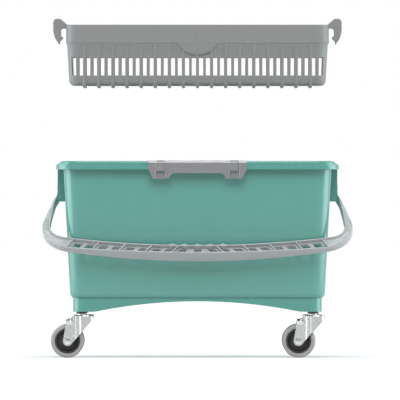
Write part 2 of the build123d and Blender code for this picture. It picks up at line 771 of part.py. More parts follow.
# Round cups pressed out of the cheeks beside the bearing
cup_radius = (cup_width ** 2 / 4 + cup_proud ** 2) / (2 * cup_proud)
with BuildPart() as fork_cups:
    with Locations((-cup_offset, fork_half + cup_proud - cup_radius, 0)):
        Cylinder(cup_radius, head_top_z - head_round, align=(Align.CENTER, Align.CENTER, Align.MIN))
    extrude(fork_side(), amount=2 * fork_half, both=True, mode=Mode.INTERSECT)
    split(bisect_by=Plane.XZ.offset(fork_sheet / 2 - fork_half), keep=Keep.BOTTOM)
    mirror(about=Plane.XZ)

with BuildPart() as castor_fork:
    extrude(fork_side(), amount=fork_half, both=True)
    extrude(fork_plan(fork_half, fork_nose, fork_nose_round), amount=head_top_z, mode=Mode.INTERSECT)
    fillet(castor_fork.faces().sort_by(Axis.Z)[-1].edges(), head_round)
    add(fork_cups.part)
    add(fork_inside.part, mode=Mode.SUBTRACT)
    # Flared tabs on the shoulders of the legs
    with BuildSketch(Plane.YZ.offset(tab_start_x)):
        with BuildLine():
            Polyline((fork_half - fork_sheet, leg_top_z - tab_height), (fork_half, leg_top_z - tab_height),
                     (fork_half + tab_reach, leg_top_z), (fork_half + tab_reach - fork_sheet, leg_top_z),
                     close=True)
        make_face()
        mirror(about=Plane.YZ)
    extrude(amount=-fork_back - tab_start_x)
    # Room for the wheel, and the bores of the axle and the pintle
    with Locations((-trail, 0, axle_z)):
        Cylinder(wheel_radius + wheel_clearance, fork_gap, rotation=(90, 0, 0), mode=Mode.SUBTRACT)
        Cylinder(axle_radius + press_gap, 4 * fork_half, rotation=(90, 0, 0), mode=Mode.SUBTRACT)
    with Locations((0, 0, head_top_z)):
        Cylinder(pintle_radius + running_gap, 4 * fork_sheet, mode=Mode.SUBTRACT)

# Stem with its collar, its pintle and the plate under the balls
ball_z = head_top_z - fork_sheet - moving_gap - ball_radius
race_z = ball_z - ball_radius - moving_gap
collar_z = head_top_z + moving_gap
flange_z = collar_z + collar_height
stem_steps = [
    (race_radius, race_z - race_plate, race_z),
    (pintle_radius, race_z, collar_z),
    (collar_radius, collar_z, flange_z),
    (stem_radius, flange_z, foot_z + stem_length),
]
with BuildPart() as castor_stem:
    for radius, low, high in stem_steps:
        with Locations((0, 0, low)):
            Cylinder(radius, high - low, align=(Align.CENTER, Align.CENTER, Align.MIN))

with BuildPart() as castor_balls:
    with Locations((0, 0, ball_z)):
        with PolarLocations(ball_ring_radius, ball_count):
            Sphere(ball_radius)

# Socket pressed into the tub's boss, with a flange under the foot
with BuildPart() as castor_socket:
    with Locations((0, 0, foot_z)):
        Cylinder(socket_radius, stem_length, align=(Align.CENTER, Align.CENTER, Align.MIN))
        Cylinder(socket_flange_radius, socket_flange, align=(Align.CENTER, Align.CENTER, Align.MAX))
    chamfer(castor_socket.edges().group_by(Axis.Z)[0], socket_flange_taper)
    with Locations((0, 0, flange_z)):
        Cylinder(stem_radius + press_gap, 2 * stem_length, align=(Align.CENTER, Align.CENTER, Align.MIN),
                 mode=Mode.SUBTRACT)

# Each castor stands at its corner, turned by its own angle
wheel_pieces = {"wheel_tread": wheel_tread, "wheel_core": wheel_core, "wheel_bush": wheel_bush,
                "castor_axle": castor_axle}
swivel_pieces = {"castor_fork": castor_fork, "castor_stem": castor_stem, "castor_balls": castor_balls,
                 "castor_socket": castor_socket}
for corner, (side_x, side_y) in corners.items():
    stand = Location((side_x * castor_x, side_y * castor_y, 0), (0, 0, castor_turn[corner]))
    placed = {name: stand * wheel_plane.location * piece.part for name, piece in wheel_pieces.items()}
    placed |= {name: stand * piece.part for name, piece in swivel_pieces.items()}
    for name, piece in placed.items():
        piece.label = f"{name}_{corner}"
        export_step(piece, f"parts/{piece.label}.step")
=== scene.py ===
import json
from math import cos, pi, radians, sin, sqrt, tan

import bmesh
import bpy
import numpy as np
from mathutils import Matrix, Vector


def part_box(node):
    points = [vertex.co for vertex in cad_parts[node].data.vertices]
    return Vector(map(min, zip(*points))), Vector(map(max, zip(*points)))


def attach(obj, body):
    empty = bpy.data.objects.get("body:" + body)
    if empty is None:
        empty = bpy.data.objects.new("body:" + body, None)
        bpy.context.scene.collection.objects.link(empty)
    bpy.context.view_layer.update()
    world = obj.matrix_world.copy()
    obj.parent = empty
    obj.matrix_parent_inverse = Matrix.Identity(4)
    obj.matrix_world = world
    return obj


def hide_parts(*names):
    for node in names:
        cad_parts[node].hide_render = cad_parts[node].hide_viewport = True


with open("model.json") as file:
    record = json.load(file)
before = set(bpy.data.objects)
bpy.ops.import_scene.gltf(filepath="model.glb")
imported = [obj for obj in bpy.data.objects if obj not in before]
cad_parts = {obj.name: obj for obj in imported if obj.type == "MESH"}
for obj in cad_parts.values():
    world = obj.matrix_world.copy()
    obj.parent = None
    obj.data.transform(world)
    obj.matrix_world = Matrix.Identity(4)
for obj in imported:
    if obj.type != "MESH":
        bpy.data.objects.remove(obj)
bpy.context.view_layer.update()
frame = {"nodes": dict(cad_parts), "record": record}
nodes = frame["nodes"]
MM = 0.001

# Camera, in metres: a long lens level with the tub, so that the far castors hide behind the near ones
camera_distance = 20.0
camera_x = 0.0038
camera_z = 0.2368
view_width = 0.603
sensor_width = 36.0

# Light of the room on the object, and white of the floor beside it
room_light = 0.1
room_front = 0.4
floor_near, floor_mirror = 0.36, 0.9
cool = (0.86, 0.96, 1.0)
lamp_aim = (0, 0, 0.25)


def srgb(red, green, blue):
    """Linear colour of an 8-bit screen colour."""
    screen = np.array([red, green, blue]) / 255
    linear = np.where(screen <= 0.04045, screen / 12.92, ((screen + 0.055) / 1.055) ** 2.4)
    return (*linear.tolist(), 1.0)


# Colours of the finishes
teal = srgb(86, 157, 145)
teal_light = srgb(108, 174, 164)
light_grey = srgb(177, 180, 181)
light_grey_worn = srgb(190, 192, 193)
basket_grey = srgb(134, 134, 134)
basket_grey_worn = srgb(148, 148, 148)
clip_grey = srgb(134, 134, 137)
clip_grey_worn = srgb(150, 150, 153)
core_black = srgb(36, 36, 38)
core_black_worn = srgb(84, 84, 86)
tread_grey = srgb(176, 173, 170)
tread_dust = srgb(192, 189, 186)
zinc_bright = srgb(195, 196, 195)
zinc_dull = srgb(188, 190, 190)


def node_group(name, colours, numbers):
    """Empty finish group with its inputs, and the colour, roughness and height that a finish gives."""
    tree = bpy.data.node_groups.new(name, "ShaderNodeTree")
    for way, kind, labels in (("INPUT", "Color", colours), ("INPUT", "Float", numbers),
                              ("OUTPUT", "Color", ["Colour"]), ("OUTPUT", "Float", ["Roughness", "Height"])):
        for label in labels:
            tree.interface.new_socket(label, in_out=way, socket_type="NodeSocket" + kind)
    return tree, tree.nodes.new("NodeGroupInput").outputs, tree.nodes.new("NodeGroupOutput").inputs


def feed(tree, slot, value):
    """Set a number on a socket, or link another socket to it."""
    if isinstance(value, (int, float)):
        slot.default_value = value
    else:
        tree.links.new(value, slot)


def math_node(tree, operation, first, second):
    """Math node on two sockets or numbers; returns its output."""
    node = tree.nodes.new("ShaderNodeMath")
    node.operation = operation
    feed(tree, node.inputs[0], first)
    feed(tree, node.inputs[1], second)
    return node.outputs[0]


def noise_node(tree, vector, scale, detail):
    """Noise texture on a vector; scale is a socket or a number."""
    node = tree.nodes.new("ShaderNodeTexNoise")
    for label, value in (("Vector", vector), ("Scale", scale), ("Detail", detail)):
        feed(tree, node.inputs[label], value)
    return node.outputs["Fac"]


def ramp_range(tree, value, low, high, new_low, new_high):
    """Clamped linear map of a value."""
    node = tree.nodes.new("ShaderNodeMapRange")
    ends = (("From Min", low), ("From Max", high), ("To Min", new_low), ("To Max", new_high))
    for label, number in (("Value", value), *ends):
        feed(tree, node.inputs[label], number)
    return node.outputs["Result"]


def mix_colour(tree, factor, first, second):
    """Mix of two colour sockets by a factor socket."""
    node = tree.nodes.new("ShaderNodeMix")
    node.data_type = "RGBA"
    tree.links.new(factor, node.inputs["Factor"])
    tree.links.new(first, node.inputs["A"])
    tree.links.new(second, node.inputs["B"])
    return node.outputs["Result"]


def moulded_group():
    """Moulded plastic: colour that drifts with the flow of the melt, faint scuffs, spark-eroded grain."""
    numbers = ["Grain Scale", "Rub", "Roughness"]
    tree, given, made = node_group("Moulded Plastic", ["Colour", "Rubbed Colour"], numbers)
    place = tree.nodes.new("ShaderNodeTexCoord").outputs["Object"]
    grain = noise_node(tree, place, given["Grain Scale"], 2.0)
    flow = noise_node(tree, place, 9.0, 3.0)
    scuff = noise_node(tree, place, 45.0, 2.0)
    rubbed = math_node(tree, "MULTIPLY", ramp_range(tree, scuff, 0.3, 0.8, 0.0, 1.0), given["Rub"])
    drift = ramp_range(tree, flow, 0.3, 0.7, 0.0, 0.06)
    colour = mix_colour(tree, drift, given["Colour"], given["Rubbed Colour"])
    colour = mix_colour(tree, rubbed, colour, given["Rubbed Colour"])
    uneven = ramp_range(tree, scuff, 0.3, 0.7, -0.004, 0.004)
    tree.links.new(colour, made["Colour"])
    tree.links.new(math_node(tree, "ADD", given["Roughness"], uneven), made["Roughness"])
    tree.links.new(grain, made["Height"])
    return tree


def plated_group():
    """Zinc plating: soft spangle in brightness and gloss, with fine drawing lines from the press."""
    tree, given, made = node_group("Zinc Plating", ["Bright", "Dull"], ["Roughness"])
    place = tree.nodes.new("ShaderNodeTexCoord").outputs["Object"]
    spangle = noise_node(tree, place, 180.0, 2.0)
    stretch = tree.nodes.new("ShaderNodeMapping")
    stretch.inputs["Scale"].default_value = (6.0, 6.0, 0.5)
    tree.links.new(place, stretch.inputs["Vector"])
    lines = noise_node(tree, stretch.outputs["Vector"], 420.0, 2.0)
    dulled = ramp_range(tree, spangle, 0.35, 0.65, 0.0, 1.0)
    uneven = ramp_range(tree, spangle, 0.3, 0.7, -0.006, 0.008)
    tree.links.new(mix_colour(tree, dulled, given["Bright"], given["Dull"]), made["Colour"])
    tree.links.new(math_node(tree, "ADD", given["Roughness"], uneven), made["Roughness"])
    tree.links.new(lines, made["Height"])
    return tree


moulded, plated = moulded_group(), plated_group()
grain_bump, grain_depth = 0.04, 0.0001
press_bump, press_depth = 0.015, 0.00002


def finish_material(name, group, values, bump_strength, bump_depth, settings):
    """Principled material fed by a finish group; settings go straight onto the shader's own sockets."""
    material = bpy.data.materials.new(name)
    material.use_nodes = True
    tree = material.node_tree
    shader = tree.nodes["Principled BSDF"]
    finish = tree.nodes.new("ShaderNodeGroup")
    finish.node_tree = group
    bump = tree.nodes.new("ShaderNodeBump")
    for node, sockets in ((finish, values), (shader, settings),
                          (bump, {"Strength": bump_strength, "Distance": bump_depth})):
        for label, value in sockets.items():
            node.inputs[label].default_value = value
    tree.links.new(finish.outputs["Colour"], shader.inputs["Base Color"])
    tree.links.new(finish.outputs["Roughness"], shader.inputs["Roughness"])
    tree.links.new(finish.outputs["Height"], bump.inputs["Height"])
    tree.links.new(bump.outputs["Normal"], shader.inputs["Normal"])
    return material


def plastic(name, colour, rubbed, grain_scale, rub, roughness, shine=0.5):
    """Moulded plastic in a colour, with its grain, scuffs, gloss and strength of shine."""
    values = {"Colour": colour, "Rubbed Colour": rubbed, "Grain Scale": grain_scale, "Rub": rub,
              "Roughness": roughness}
    return finish_material(name, moulded, values, grain_bump, grain_depth, {"Specular IOR Level": shine})


zinc = {"Bright": zinc_bright, "Dull": zinc_dull, "Roughness": 0.24}
finishes = {
    "teal_plastic": plastic("teal_polypropylene", teal, teal_light, 1400.0, 0.08, 0.24, 0.7),
    "grey_plastic": plastic("basket_polypropylene", basket_grey, basket_grey_worn, 1800.0, 0.1, 0.5),
    "clip_plastic": plastic("clip_polypropylene", clip_grey, clip_grey_worn, 1800.0, 0.08, 0.27, 0.9),
    "light_grey_plastic": plastic("handle_polypropylene", light_grey, light_grey_worn, 1700.0, 0.1, 0.36),
    "black_plastic": plastic("core_polypropylene", core_black, core_black_worn, 2200.0, 0.1, 0.42),
    "grey_rubber": plastic("tread_rubber", tread_grey, tread_dust, 2600.0, 0.2, 0.72),
    "zinc_steel": finish_material("zinc_plated_steel", plated, zinc, press_bump, press_depth,
                                  {"Metallic": 1.0}),
}

# Every node takes the finish of its slot
slot_of = {part["node"]: part["material_slot"] for part in frame["record"]["subparts"]}
for name, node in nodes.items():
    node.data.materials.clear()
    node.data.materials.append(finishes["clip_plastic" if name == "rim_clip" else slot_of[name]])


# Sizes of the tub in millimetres, from the frame where it has them
low, high = (np.array(corner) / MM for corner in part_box("bucket_tub"))
rim_half_x, rim_half_y = high[0], high[1]
foot_z, crest_z = low[2], high[2]
rim_overhang, rim_corner = 11.5, 32.5
rim_lip, rim_slope, rim_slope_run = 8.0, 5.0, 8.0
rim_lip_wall, rim_lip_bevel, rim_web, rim_round, rim_top_round = 2.2, 0.6, 2.5, 2.2, 2.6
mouth_round, mouth_soft = 0.9, 0.2
body_slope = tan(radians(2.86))
body_corner, body_wall, body_foot_depth, body_foot_rise = 21.0, 2.4, 4.8, 8.5
skirt_height, skirt_inset, skirt_wall = 20.6, 4.4, 2.5
floor_thickness, floor_round = 3.0, 7.0
arch_half, arch_rise, arch_end_half, arch_end_rise = 153.9, 15.7, 44.9, 8.0
castor_x, castor_y, boss_radius, boss_bore, boss_rib = 173.958, 64.958, 10.6, 7.0, 2.4
notch_y, notch_width, notch_seat_x, notch_edge = 62.0, 14.4, 201.55, 0.02
ear_gap, ear_wall, ear_reach, ear_drop, ear_bevel = 54.0, 3.0, 9.5, 48.0, 1.6
pivot_drop, stud_slit, stud_radius, collar_radius, collar_reach = 45.0, 1.6, 6.0, 10.0, 4.4
stud_head_radius, stud_head_start, stud_head_height = 8.4, 8.6, 1.6
on_axis, near_corner = 0.01, 0.99
lip_top_z = crest_z - rim_slope
rim_under_z = lip_top_z - rim_lip
ledge_z = foot_z + skirt_height
floor_z = ledge_z + floor_thickness
pivot_z = crest_z - pivot_drop
body_half_x = rim_half_x - rim_overhang
body_half_y = rim_half_y - rim_overhang


def quarter(steps):
    """Angles of a quarter turn, in radians."""
    return np.linspace(0, pi / 2, steps + 1)


def rounding(depth, height, steps):
    """Rounded edge as steps of (inset, rise), from all of its depth to all of its height."""
    return [(depth * (1 - sin(a)), height * (1 - cos(a))) for a in quarter(steps)]


def spread(count, pitch):
    """Even places about the middle."""
    return (np.arange(count) - (count - 1) / 2) * pitch


def opening_edges(centres, width, *ends):
    """Both edges of every opening in a run, with the run's own ends, in order."""
    return np.sort(np.concatenate([centres - width / 2, centres + width / 2, ends]))


def near_any(places, centres, reach):
    """Whether each place lies within reach of one of the centres."""
    return (np.abs(places[:, None] - centres) < reach).any(1)


def cells(rows, columns, wrap):
    """Corner numbers of every cell of a grid of rows by columns, closed round its columns if wrap."""
    i, j = np.meshgrid(np.arange(rows - 1), np.arange(columns if wrap else columns - 1), indexing="ij")
    k = (j + 1) % columns
    return np.stack([i * columns + j, i * columns + k, (i + 1) * columns + k, (i + 1) * columns + j], -1)


def surface(points, wrap=True, caps=False):
    """Grid of points as (points, faces), with flat caps over its first and last rows if asked."""
    rows, columns = points.shape[:2]
    faces = cells(rows, columns, wrap).reshape(-1, 4).tolist()
    if caps:
        last = (rows - 1) * columns
        faces += [list(range(columns))[::-1], list(range(last, last + columns))]
    return points.reshape(-1, 3), faces


def loop_surface(points):
    """Grid closed both round its columns and over its rows, as a ring-shaped body."""
    return surface(np.concatenate([points, points[:1]]))


def slab(outline, start, end, plane):
    """Outline of (a, b) points carried from start to end across its plane: xz, yz or xy."""
    a, b = np.asarray(outline, float).T
    rows = []
    for level in (start, end):
        h = np.full_like(a, level)
        rows.append(np.stack({"xz": (a, h, b), "yz": (h, a, b), "xy": (a, b, h)}[plane], -1))
    return surface(np.stack(rows), caps=True)


def block(low_corner, high_corner):
    """Plain block between two corners."""
    (x0, y0, z0), (x1, y1, z1) = low_corner, high_corner
    return slab([(x0, y0), (x1, y0), (x1, y1), (x0, y1)], z0, z1, "xy")


def lathe(profile, steps, axis="z", centre=(0, 0, 0), flat=None):
    """Closed profile of (radius, height) turned about an axis; flat cuts the side below that level away."""
    profile = np.asarray(profile, float)
    angle = np.linspace(0, 2 * pi, steps, endpoint=False)
    a = profile[:, :1] * np.cos(angle)
    b = profile[:, :1] * np.sin(angle)
    if flat is not None:
        half_chord = np.sqrt(np.maximum(profile[:, :1] ** 2 - flat ** 2, 0))
        a = np.clip(a, -half_chord, half_chord)
        b = np.maximum(b * np.sign(flat), abs(flat)) * np.sign(flat)
    h = np.broadcast_to(profile[:, 1:], a.shape)
    order = {"z": (a, b, h), "x": (h, a, b), "y": (b, h, a)}[axis]
    return loop_surface(np.stack(order, -1) + np.asarray(centre))


def ring_columns(end_stops, side_stops, angles):
    """Columns round a rounded rectangle, anticlockwise: shares of the straight runs, then corner angles."""
    end, side, turn = (np.asarray(values, float) for values in (end_stops, side_stops, angles))
    one = np.ones_like
    runs = [(one(end), end, 0 * end), (one(turn), one(turn), turn), (-side, one(side), 0 * side + pi / 2),
            (-one(turn), one(turn), pi - turn[::-1])]
    along_x, along_y, angle = (np.concatenate(parts) for parts in zip(*runs))
    angle = np.concatenate([angle, angle + pi])
    return np.append(along_x, -along_x), np.append(along_y, -along_y), np.cos(angle), np.sin(angle)


def rings(rows, columns):
    """Rounded rectangles as a grid: rows of (half length, half depth, corner radius, height)."""
    along_x, along_y, round_x, round_y = columns
    half_x, half_y, corner, z = (column[:, None] for column in np.asarray(rows, float).T)
    x = along_x * (half_x - corner) + round_x * corner
    y = along_y * (half_y - corner) + round_y * corner
    return np.stack([x, y, np.broadcast_to(z, x.shape)], -1)


def pierced(outer, inner, present=None, wrap=True):
    """Wall between two like grids, with cells left out where present is false and their edges closed."""
    quads = cells(*outer.shape[:2], wrap)
    count = outer.shape[0] * outer.shape[1]
    if present is None:
        present = np.ones(quads.shape[:2], bool)
    faces = [quads[present], quads[present][:, ::-1] + count]
    padded = np.pad(present, 1)
    if wrap:
        padded[1:-1, 0], padded[1:-1, -1] = present[:, -1], present[:, 0]
    beside = [padded[:-2, 1:-1], padded[1:-1, 2:], padded[2:, 1:-1], padded[1:-1, :-2]]
    for first, neighbour in enumerate(beside):
        a, b = quads[present & ~neighbour][:, [first, (first + 1) % 4]].T
        faces.append(np.stack([b, a, a + count, b + count], -1))
    return np.concatenate([outer.reshape(-1, 3), inner.reshape(-1, 3)]), np.concatenate(faces).tolist()


def piece(name, parts, body, finish, replaced, edge_round):
    """One object of several (points, faces) parts in millimetres, merged, turned outwards, edge-rounded."""
    points, faces, count = [], [], 0
    for part_points, part_faces in parts:
        points.append(part_points)
        faces += [[index + count for index in face] for face in part_faces]
        count += len(part_points)
    mesh = bpy.data.meshes.new(name)
    mesh.from_pydata((np.concatenate(points) * MM).tolist(), [], faces)
    shape = bmesh.new()
    shape.from_mesh(mesh)
    bmesh.ops.remove_doubles(shape, verts=shape.verts, dist=1e-6)
    bmesh.ops.dissolve_degenerate(shape, edges=shape.edges, dist=1e-6)
    bmesh.ops.recalc_face_normals(shape, faces=shape.faces)
    shape.to_mesh(mesh)
    shape.free()
    mesh.polygons.foreach_set("use_smooth", np.ones(len(mesh.polygons), bool))
    mesh.materials.append(finishes[finish])
    made = bpy.data.objects.new(name, mesh)
    bpy.context.scene.collection.objects.link(made)
    rounding = made.modifiers.new("rounded_edges", "BEVEL")
    rounding.width = edge_round * MM
    rounding.segments = 2
    rounding.limit_method = "ANGLE"
    rounding.angle_limit = radians(32)
    rounding.harden_normals = True
    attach(made, body)
    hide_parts(*replaced)
    return made


def rim_row(inset, z):
    """Row of the rim's outline, drawn in by inset."""
    return rim_half_x - inset, rim_half_y - inset, rim_corner - inset, z


def rim_level(z):
    """Row of the rim's outer face at z: a slope on the ends, where the hooks hang, and upright sides."""
    below = min((z - lip_top_z) / rim_round + 1, 1)
    end_round = rim_round * (1 - sqrt(1 - below ** 2))
    end_inset = end_round + max(z - lip_top_z, 0) / rim_slope * (rim_slope_run + mouth_round - rim_round)
    rise = max(z - crest_z + rim_top_round, 0) / rim_top_round
    side_inset = rim_top_round * (1 - sqrt(1 - rise ** 2))
    return rim_half_x - end_inset, rim_half_y - side_inset, rim_corner - max(end_inset, side_inset), z


def body_row(z, inset):
    """Row of the tapered body at z, drawn in by inset."""
    draw = (rim_under_z - z) * body_slope + inset
    return body_half_x - draw, body_half_y - draw, body_corner - inset, z


def tub_shell():
    """Tub's wall as one surface: round foot, tapered wall, hollow rim with hook notches, inside and floor."""
    foot = [body_row(ledge_z + rise, inset) for inset, rise in rounding(body_foot_depth, body_foot_rise, 8)]
    wall = [body_row(z, 0) for z in np.linspace(ledge_z + body_foot_rise, rim_under_z, 9)[1:]]
    hollow_z, bevel_z = lip_top_z - rim_web, rim_under_z + rim_lip_bevel
    rim = [rim_row(inset, z) for inset, z in (
        (rim_overhang, hollow_z), (rim_lip_wall, hollow_z), (rim_lip_wall, bevel_z),
        (rim_lip_wall - rim_lip_bevel, rim_under_z), (rim_lip_bevel, rim_under_z), (0, bevel_z))]
    levels = [lip_top_z - drop for drop, _ in rounding(rim_round, rim_round, 3)]
    levels += [lip_top_z + rim_slope * share for share in (0.2, 0.4, 0.6, 0.75, 0.88, 0.96, 1)]
    rim += [rim_level(z) for z in levels]
    mouth = ((0, mouth_round), (mouth_round / 3, mouth_soft), (mouth_round, 0))
    top = [body_row(crest_z - drop, body_wall - out) for drop, out in mouth]
    inside = [body_row(z, body_wall) for z in np.linspace(crest_z - 4, floor_z + floor_round, 9)]
    bend = rounding(floor_round, floor_round, 5)[1:]
    bottom = [body_row(floor_z + rise, body_wall + inset) for rise, inset in bend]
    notch_edges = opening_edges(np.array([notch_y]), notch_width)
    stops = opening_edges(notch_edges, 2 * notch_edge) / (rim_half_y - rim_corner)
    end_stops = np.sort(np.concatenate([[-0.98, -0.35, 0, 0.35, 0.98], stops, -stops]))
    columns = ring_columns(end_stops, np.linspace(-near_corner, near_corner, 23), quarter(12))
    points = rings(foot + wall + rim + top + inside + bottom, columns)
    first, last = len(foot + wall) - 1, len(foot + wall + rim) - 1
    span = points[first:last + 1]
    straight_end = (np.abs(columns[1]) < 1) & (np.abs(columns[2]) > near_corner)
    span[:, straight_end, 1] = span[0, straight_end, 1]
    in_notch = straight_end & (np.abs(np.abs(span[0, :, 1]) - notch_y) < notch_width / 2)
    span[:, in_notch, 0] = np.sign(span[:, in_notch, 0]) * notch_seat_x
    span[:, in_notch, 2] = np.linspace(rim_under_z, crest_z, last - first + 1)[:, None]
    return surface(points, caps=True)


def arch_height(x, half, rise):
    """Height of a flat round arch at x: the circle through its crown and its two feet."""
    radius = (half ** 2 + rise ** 2) / (2 * rise)
    return np.where(np.abs(x) < half, rise - radius + np.sqrt(np.maximum(radius ** 2 - x ** 2, 0)), 0)


def tub_skirt():
    """Skirt under the tub: a ring whose lower edge rises in an arch on each side."""
    top = ledge_z + floor_thickness / 2
    outer, inner = (body_row(ledge_z, skirt_inset + depth)[:3] for depth in (0, skirt_wall))
    end_run, side_run = (np.linspace(-near_corner, near_corner, count) for count in (25, 61))
    columns = ring_columns(end_run, side_run, quarter(10))
    points = rings([(*outer, foot_z), (*outer, top), (*inner, top), (*inner, foot_z)], columns)
    on_end, on_side = (np.abs(column) > 0.999 for column in columns[2:])
    rise = np.where(on_side, arch_height(points[0, :, 0], arch_half, arch_rise), 0)
    rise = np.where(on_end, arch_height(points[0, :, 1], arch_end_half, arch_end_rise), rise)
    points[[0, 3], :, 2] += rise
    return loop_surface(points)


def tub_underside():
    """Castor bosses with their ribs to the skirt."""
    parts = []
    half_x, half_y, _, _ = body_row(ledge_z, skirt_inset + skirt_wall / 2)
    top, half = ledge_z + floor_thickness / 2, boss_rib / 2
    low_z, high_z, start = foot_z + 0.5, floor_z - 1, boss_bore + 2
    profile = [(boss_radius, foot_z), (boss_radius, top), (boss_bore, top), (boss_bore, foot_z)]
    for sx in (-1, 1):
        for sy in (-1, 1):
            x, y = sx * castor_x, sy * castor_y
            parts.append(lathe(profile, 32, "z", (x, y, 0)))
            x0, x1 = sorted((sx * (castor_x + start), sx * half_x))
            y0, y1 = sorted((sy * (castor_y + start), sy * half_y))
            parts += [block((x0, y - half, low_z), (x1, y + half, high_z)),
                      block((x - half, y0, low_z), (x + half, y1, high_z))]
    return parts


def bail_studs():
    """Ears beside the bail's eyes, and studs with a split head."""
    parts = []
    ear_bottom, ear_top = rim_under_z - ear_drop, lip_top_z - 1.5
    low_start, start, high_start = (body_row(z, body_wall / 2)[0] for z in (ear_bottom, pivot_z, ear_top))
    face, shoulder, eye_end = (body_half_x + reach for reach in (ear_reach, collar_reach, stud_head_start))
    head_end = eye_end + stud_head_height
    outline = np.array([(low_start, ear_bottom), (face - ear_bevel, ear_bottom),
                        (face, ear_bottom + ear_bevel), (face, ear_top), (high_start, ear_top)])
    collar = np.array([(on_axis, start), (collar_radius, start), (collar_radius, shoulder),
                       (on_axis, shoulder)])
    stud = np.array([(on_axis, start), (stud_radius, start), (stud_radius, eye_end),
                     (stud_head_radius, eye_end), (stud_head_radius, head_end - 0.5),
                     (stud_head_radius - 0.8, head_end), (on_axis, head_end)])
    for side in (-1, 1):
        for y in (ear_gap / 2, -ear_gap / 2 - ear_wall):
            parts.append(slab(outline * (side, 1), y, y + ear_wall, "xz"))
        parts.append(lathe(collar * (1, side), 40, "x", (0, 0, pivot_z)))
        parts += [lathe(stud * (1, side), 40, "x", (0, 0, pivot_z), half * stud_slit / 2) for half in (-1, 1)]
    return parts


piece("tub_moulding", [tub_shell(), tub_skirt(), *tub_underside(), *bail_studs()], "bucket",
      "teal_plastic", ["bucket_tub"], 0.5)


# Sizes of the bail in millimetres, in its own frame: along the bucket, reach from the pivot, up from there
hang = radians(39)
eye_radius, eye_bore, eye_wall = 10.5, 6.06, 3.6
eye_inner_x = body_half_x + 4.7
eye_outer_x = eye_inner_x + eye_wall
strap_half_depth, grip_top, grip_end_depth, grip_middle_depth = 8.5, 4.5, 4.5, 13.0
grip_half = 195.0
grip_inner_end, grip_inner_middle = rim_half_y + 11.0, rim_half_y + 29.2
grip_outer_end, grip_outer_middle = grip_inner_end + 24.5, grip_inner_middle + 18.1
inner_bow, outer_bow = (grip_inner_middle, grip_inner_end), (grip_outer_middle, grip_outer_end)
strap_start, strap_rise, strap_soft = 7.0, 31.0, 20
strap_slim_reach, strap_full_reach = grip_inner_end - 16, grip_inner_end - 56
strap_inner_line = [(strap_start, eye_inner_x), (9.5, eye_inner_x), (strap_rise, rim_half_x + 0.9),
                    (strap_full_reach, rim_half_x + 5.8)]
strap_outer_line = [(strap_start, eye_outer_x), (15.0, eye_outer_x), (strap_rise, rim_half_x + 3.6),
                    (strap_full_reach, rim_half_x + 12.2)]
corner_inner_x, corner_outer_x = rim_half_x + 11.5, rim_half_x + 36.0
corner_inner_radius, corner_outer_radius = 26.0, 48.0
lip_wall, dish, web_top, web_bottom, bail_round = 2.2, 2.2, -0.9, -3.4, 0.7
dish_steps, dish_from, dish_to = 60, 24, 40
rib_first, rib_pitch, rib_count, rib_wall, rib_lean = 34.0, 39.4, 5, 1.8, 6.0
channel_end = rib_first + (rib_count - 1) * rib_pitch
hole_half, hole_margin, hole_offset = 6.25, 2.6, 10.0
scallop_half_pitch, scallop_reach, scallop_height, scallop_ridge = 9.5, 47.5, 3.4, 1.1


def bail_place(x, reach, up):
    """Point of the bail's own frame in the row frame."""
    y = -reach * cos(hang) - up * sin(hang)
    z = pivot_z - reach * sin(hang) + up * cos(hang)
    return np.stack(np.broadcast_arrays(x, y, z), -1)


def bow_radius(middle, end):
    """Radius of the circle through a grip edge's middle and its ends."""
    sag = middle - end
    return (grip_half ** 2 + sag ** 2) / (2 * sag)


def bow(x, middle, end):
    """Reach of a grip edge at x, on its circle."""
    radius = bow_radius(middle, end)
    return middle - radius + np.sqrt(radius ** 2 - np.asarray(x, float) ** 2)


def bail_edge(line, corner_x, corner_radius, middle, end):
    """Edge of the bail from its eye to its middle: a softened strap line, a round corner and the grip's bow.

    The corner's centre is the point at corner_radius inside both the strap's line and the bow's circle.
    """
    radius = bow_radius(middle, end)
    hub = np.array([0, middle - radius])
    corner = np.array([corner_x, bow(corner_x, middle, end)])
    bend = np.array([line[-1][1], line[-1][0]])
    along = (corner - bend) / np.linalg.norm(corner - bend)
    across = np.array([along[1], -along[0]])
    across *= -np.sign(across[0])
    offset = bend + across * corner_radius - hub
    lean = offset @ along
    centre = bend + across * corner_radius + along * (
        sqrt(lean ** 2 - offset @ offset + (radius - corner_radius) ** 2) - lean)
    start, stop = (np.arctan2(way[1], way[0]) for way in (-across, centre - hub))
    angle = np.linspace(start, stop, 30)
    arc = centre + corner_radius * np.stack([np.cos(angle), np.sin(angle)], -1)
    fine = np.linspace(strap_start - 12, arc[0, 1] + 12, 400)
    beyond = corner + 40 * along
    rough = np.interp(fine, [reach for reach, _ in line] + [arc[0, 1], beyond[1]],
                      [x for _, x in line] + [arc[0, 0], beyond[0]])
    window = np.ones(2 * strap_soft + 1) / (2 * strap_soft + 1)
    soft = np.convolve(np.pad(rough, strap_soft, mode="edge"), window, mode="valid")
    reach = np.linspace(strap_start, arc[0, 1], 26)[:-1]
    run_x = np.linspace(arc[-1, 0], 0, 190)[1:]
    return np.concatenate([np.stack([np.interp(reach, fine, soft), reach], -1), arc,
                           np.stack([run_x, bow(run_x, middle, end)], -1)])


def stretch(edge, stop_x, count):
    """Even points of an edge from the eye to where it comes back to stop_x."""
    length = np.concatenate([[0], np.cumsum(np.linalg.norm(np.diff(edge, axis=0), axis=1))])
    widest = edge[:, 0].argmax()
    stop = np.interp(-stop_x, -edge[widest:, 0], length[widest:])
    place = np.linspace(0, stop, count)
    return np.stack([np.interp(place, length, edge[:, axis]) for axis in (0, 1)], -1)


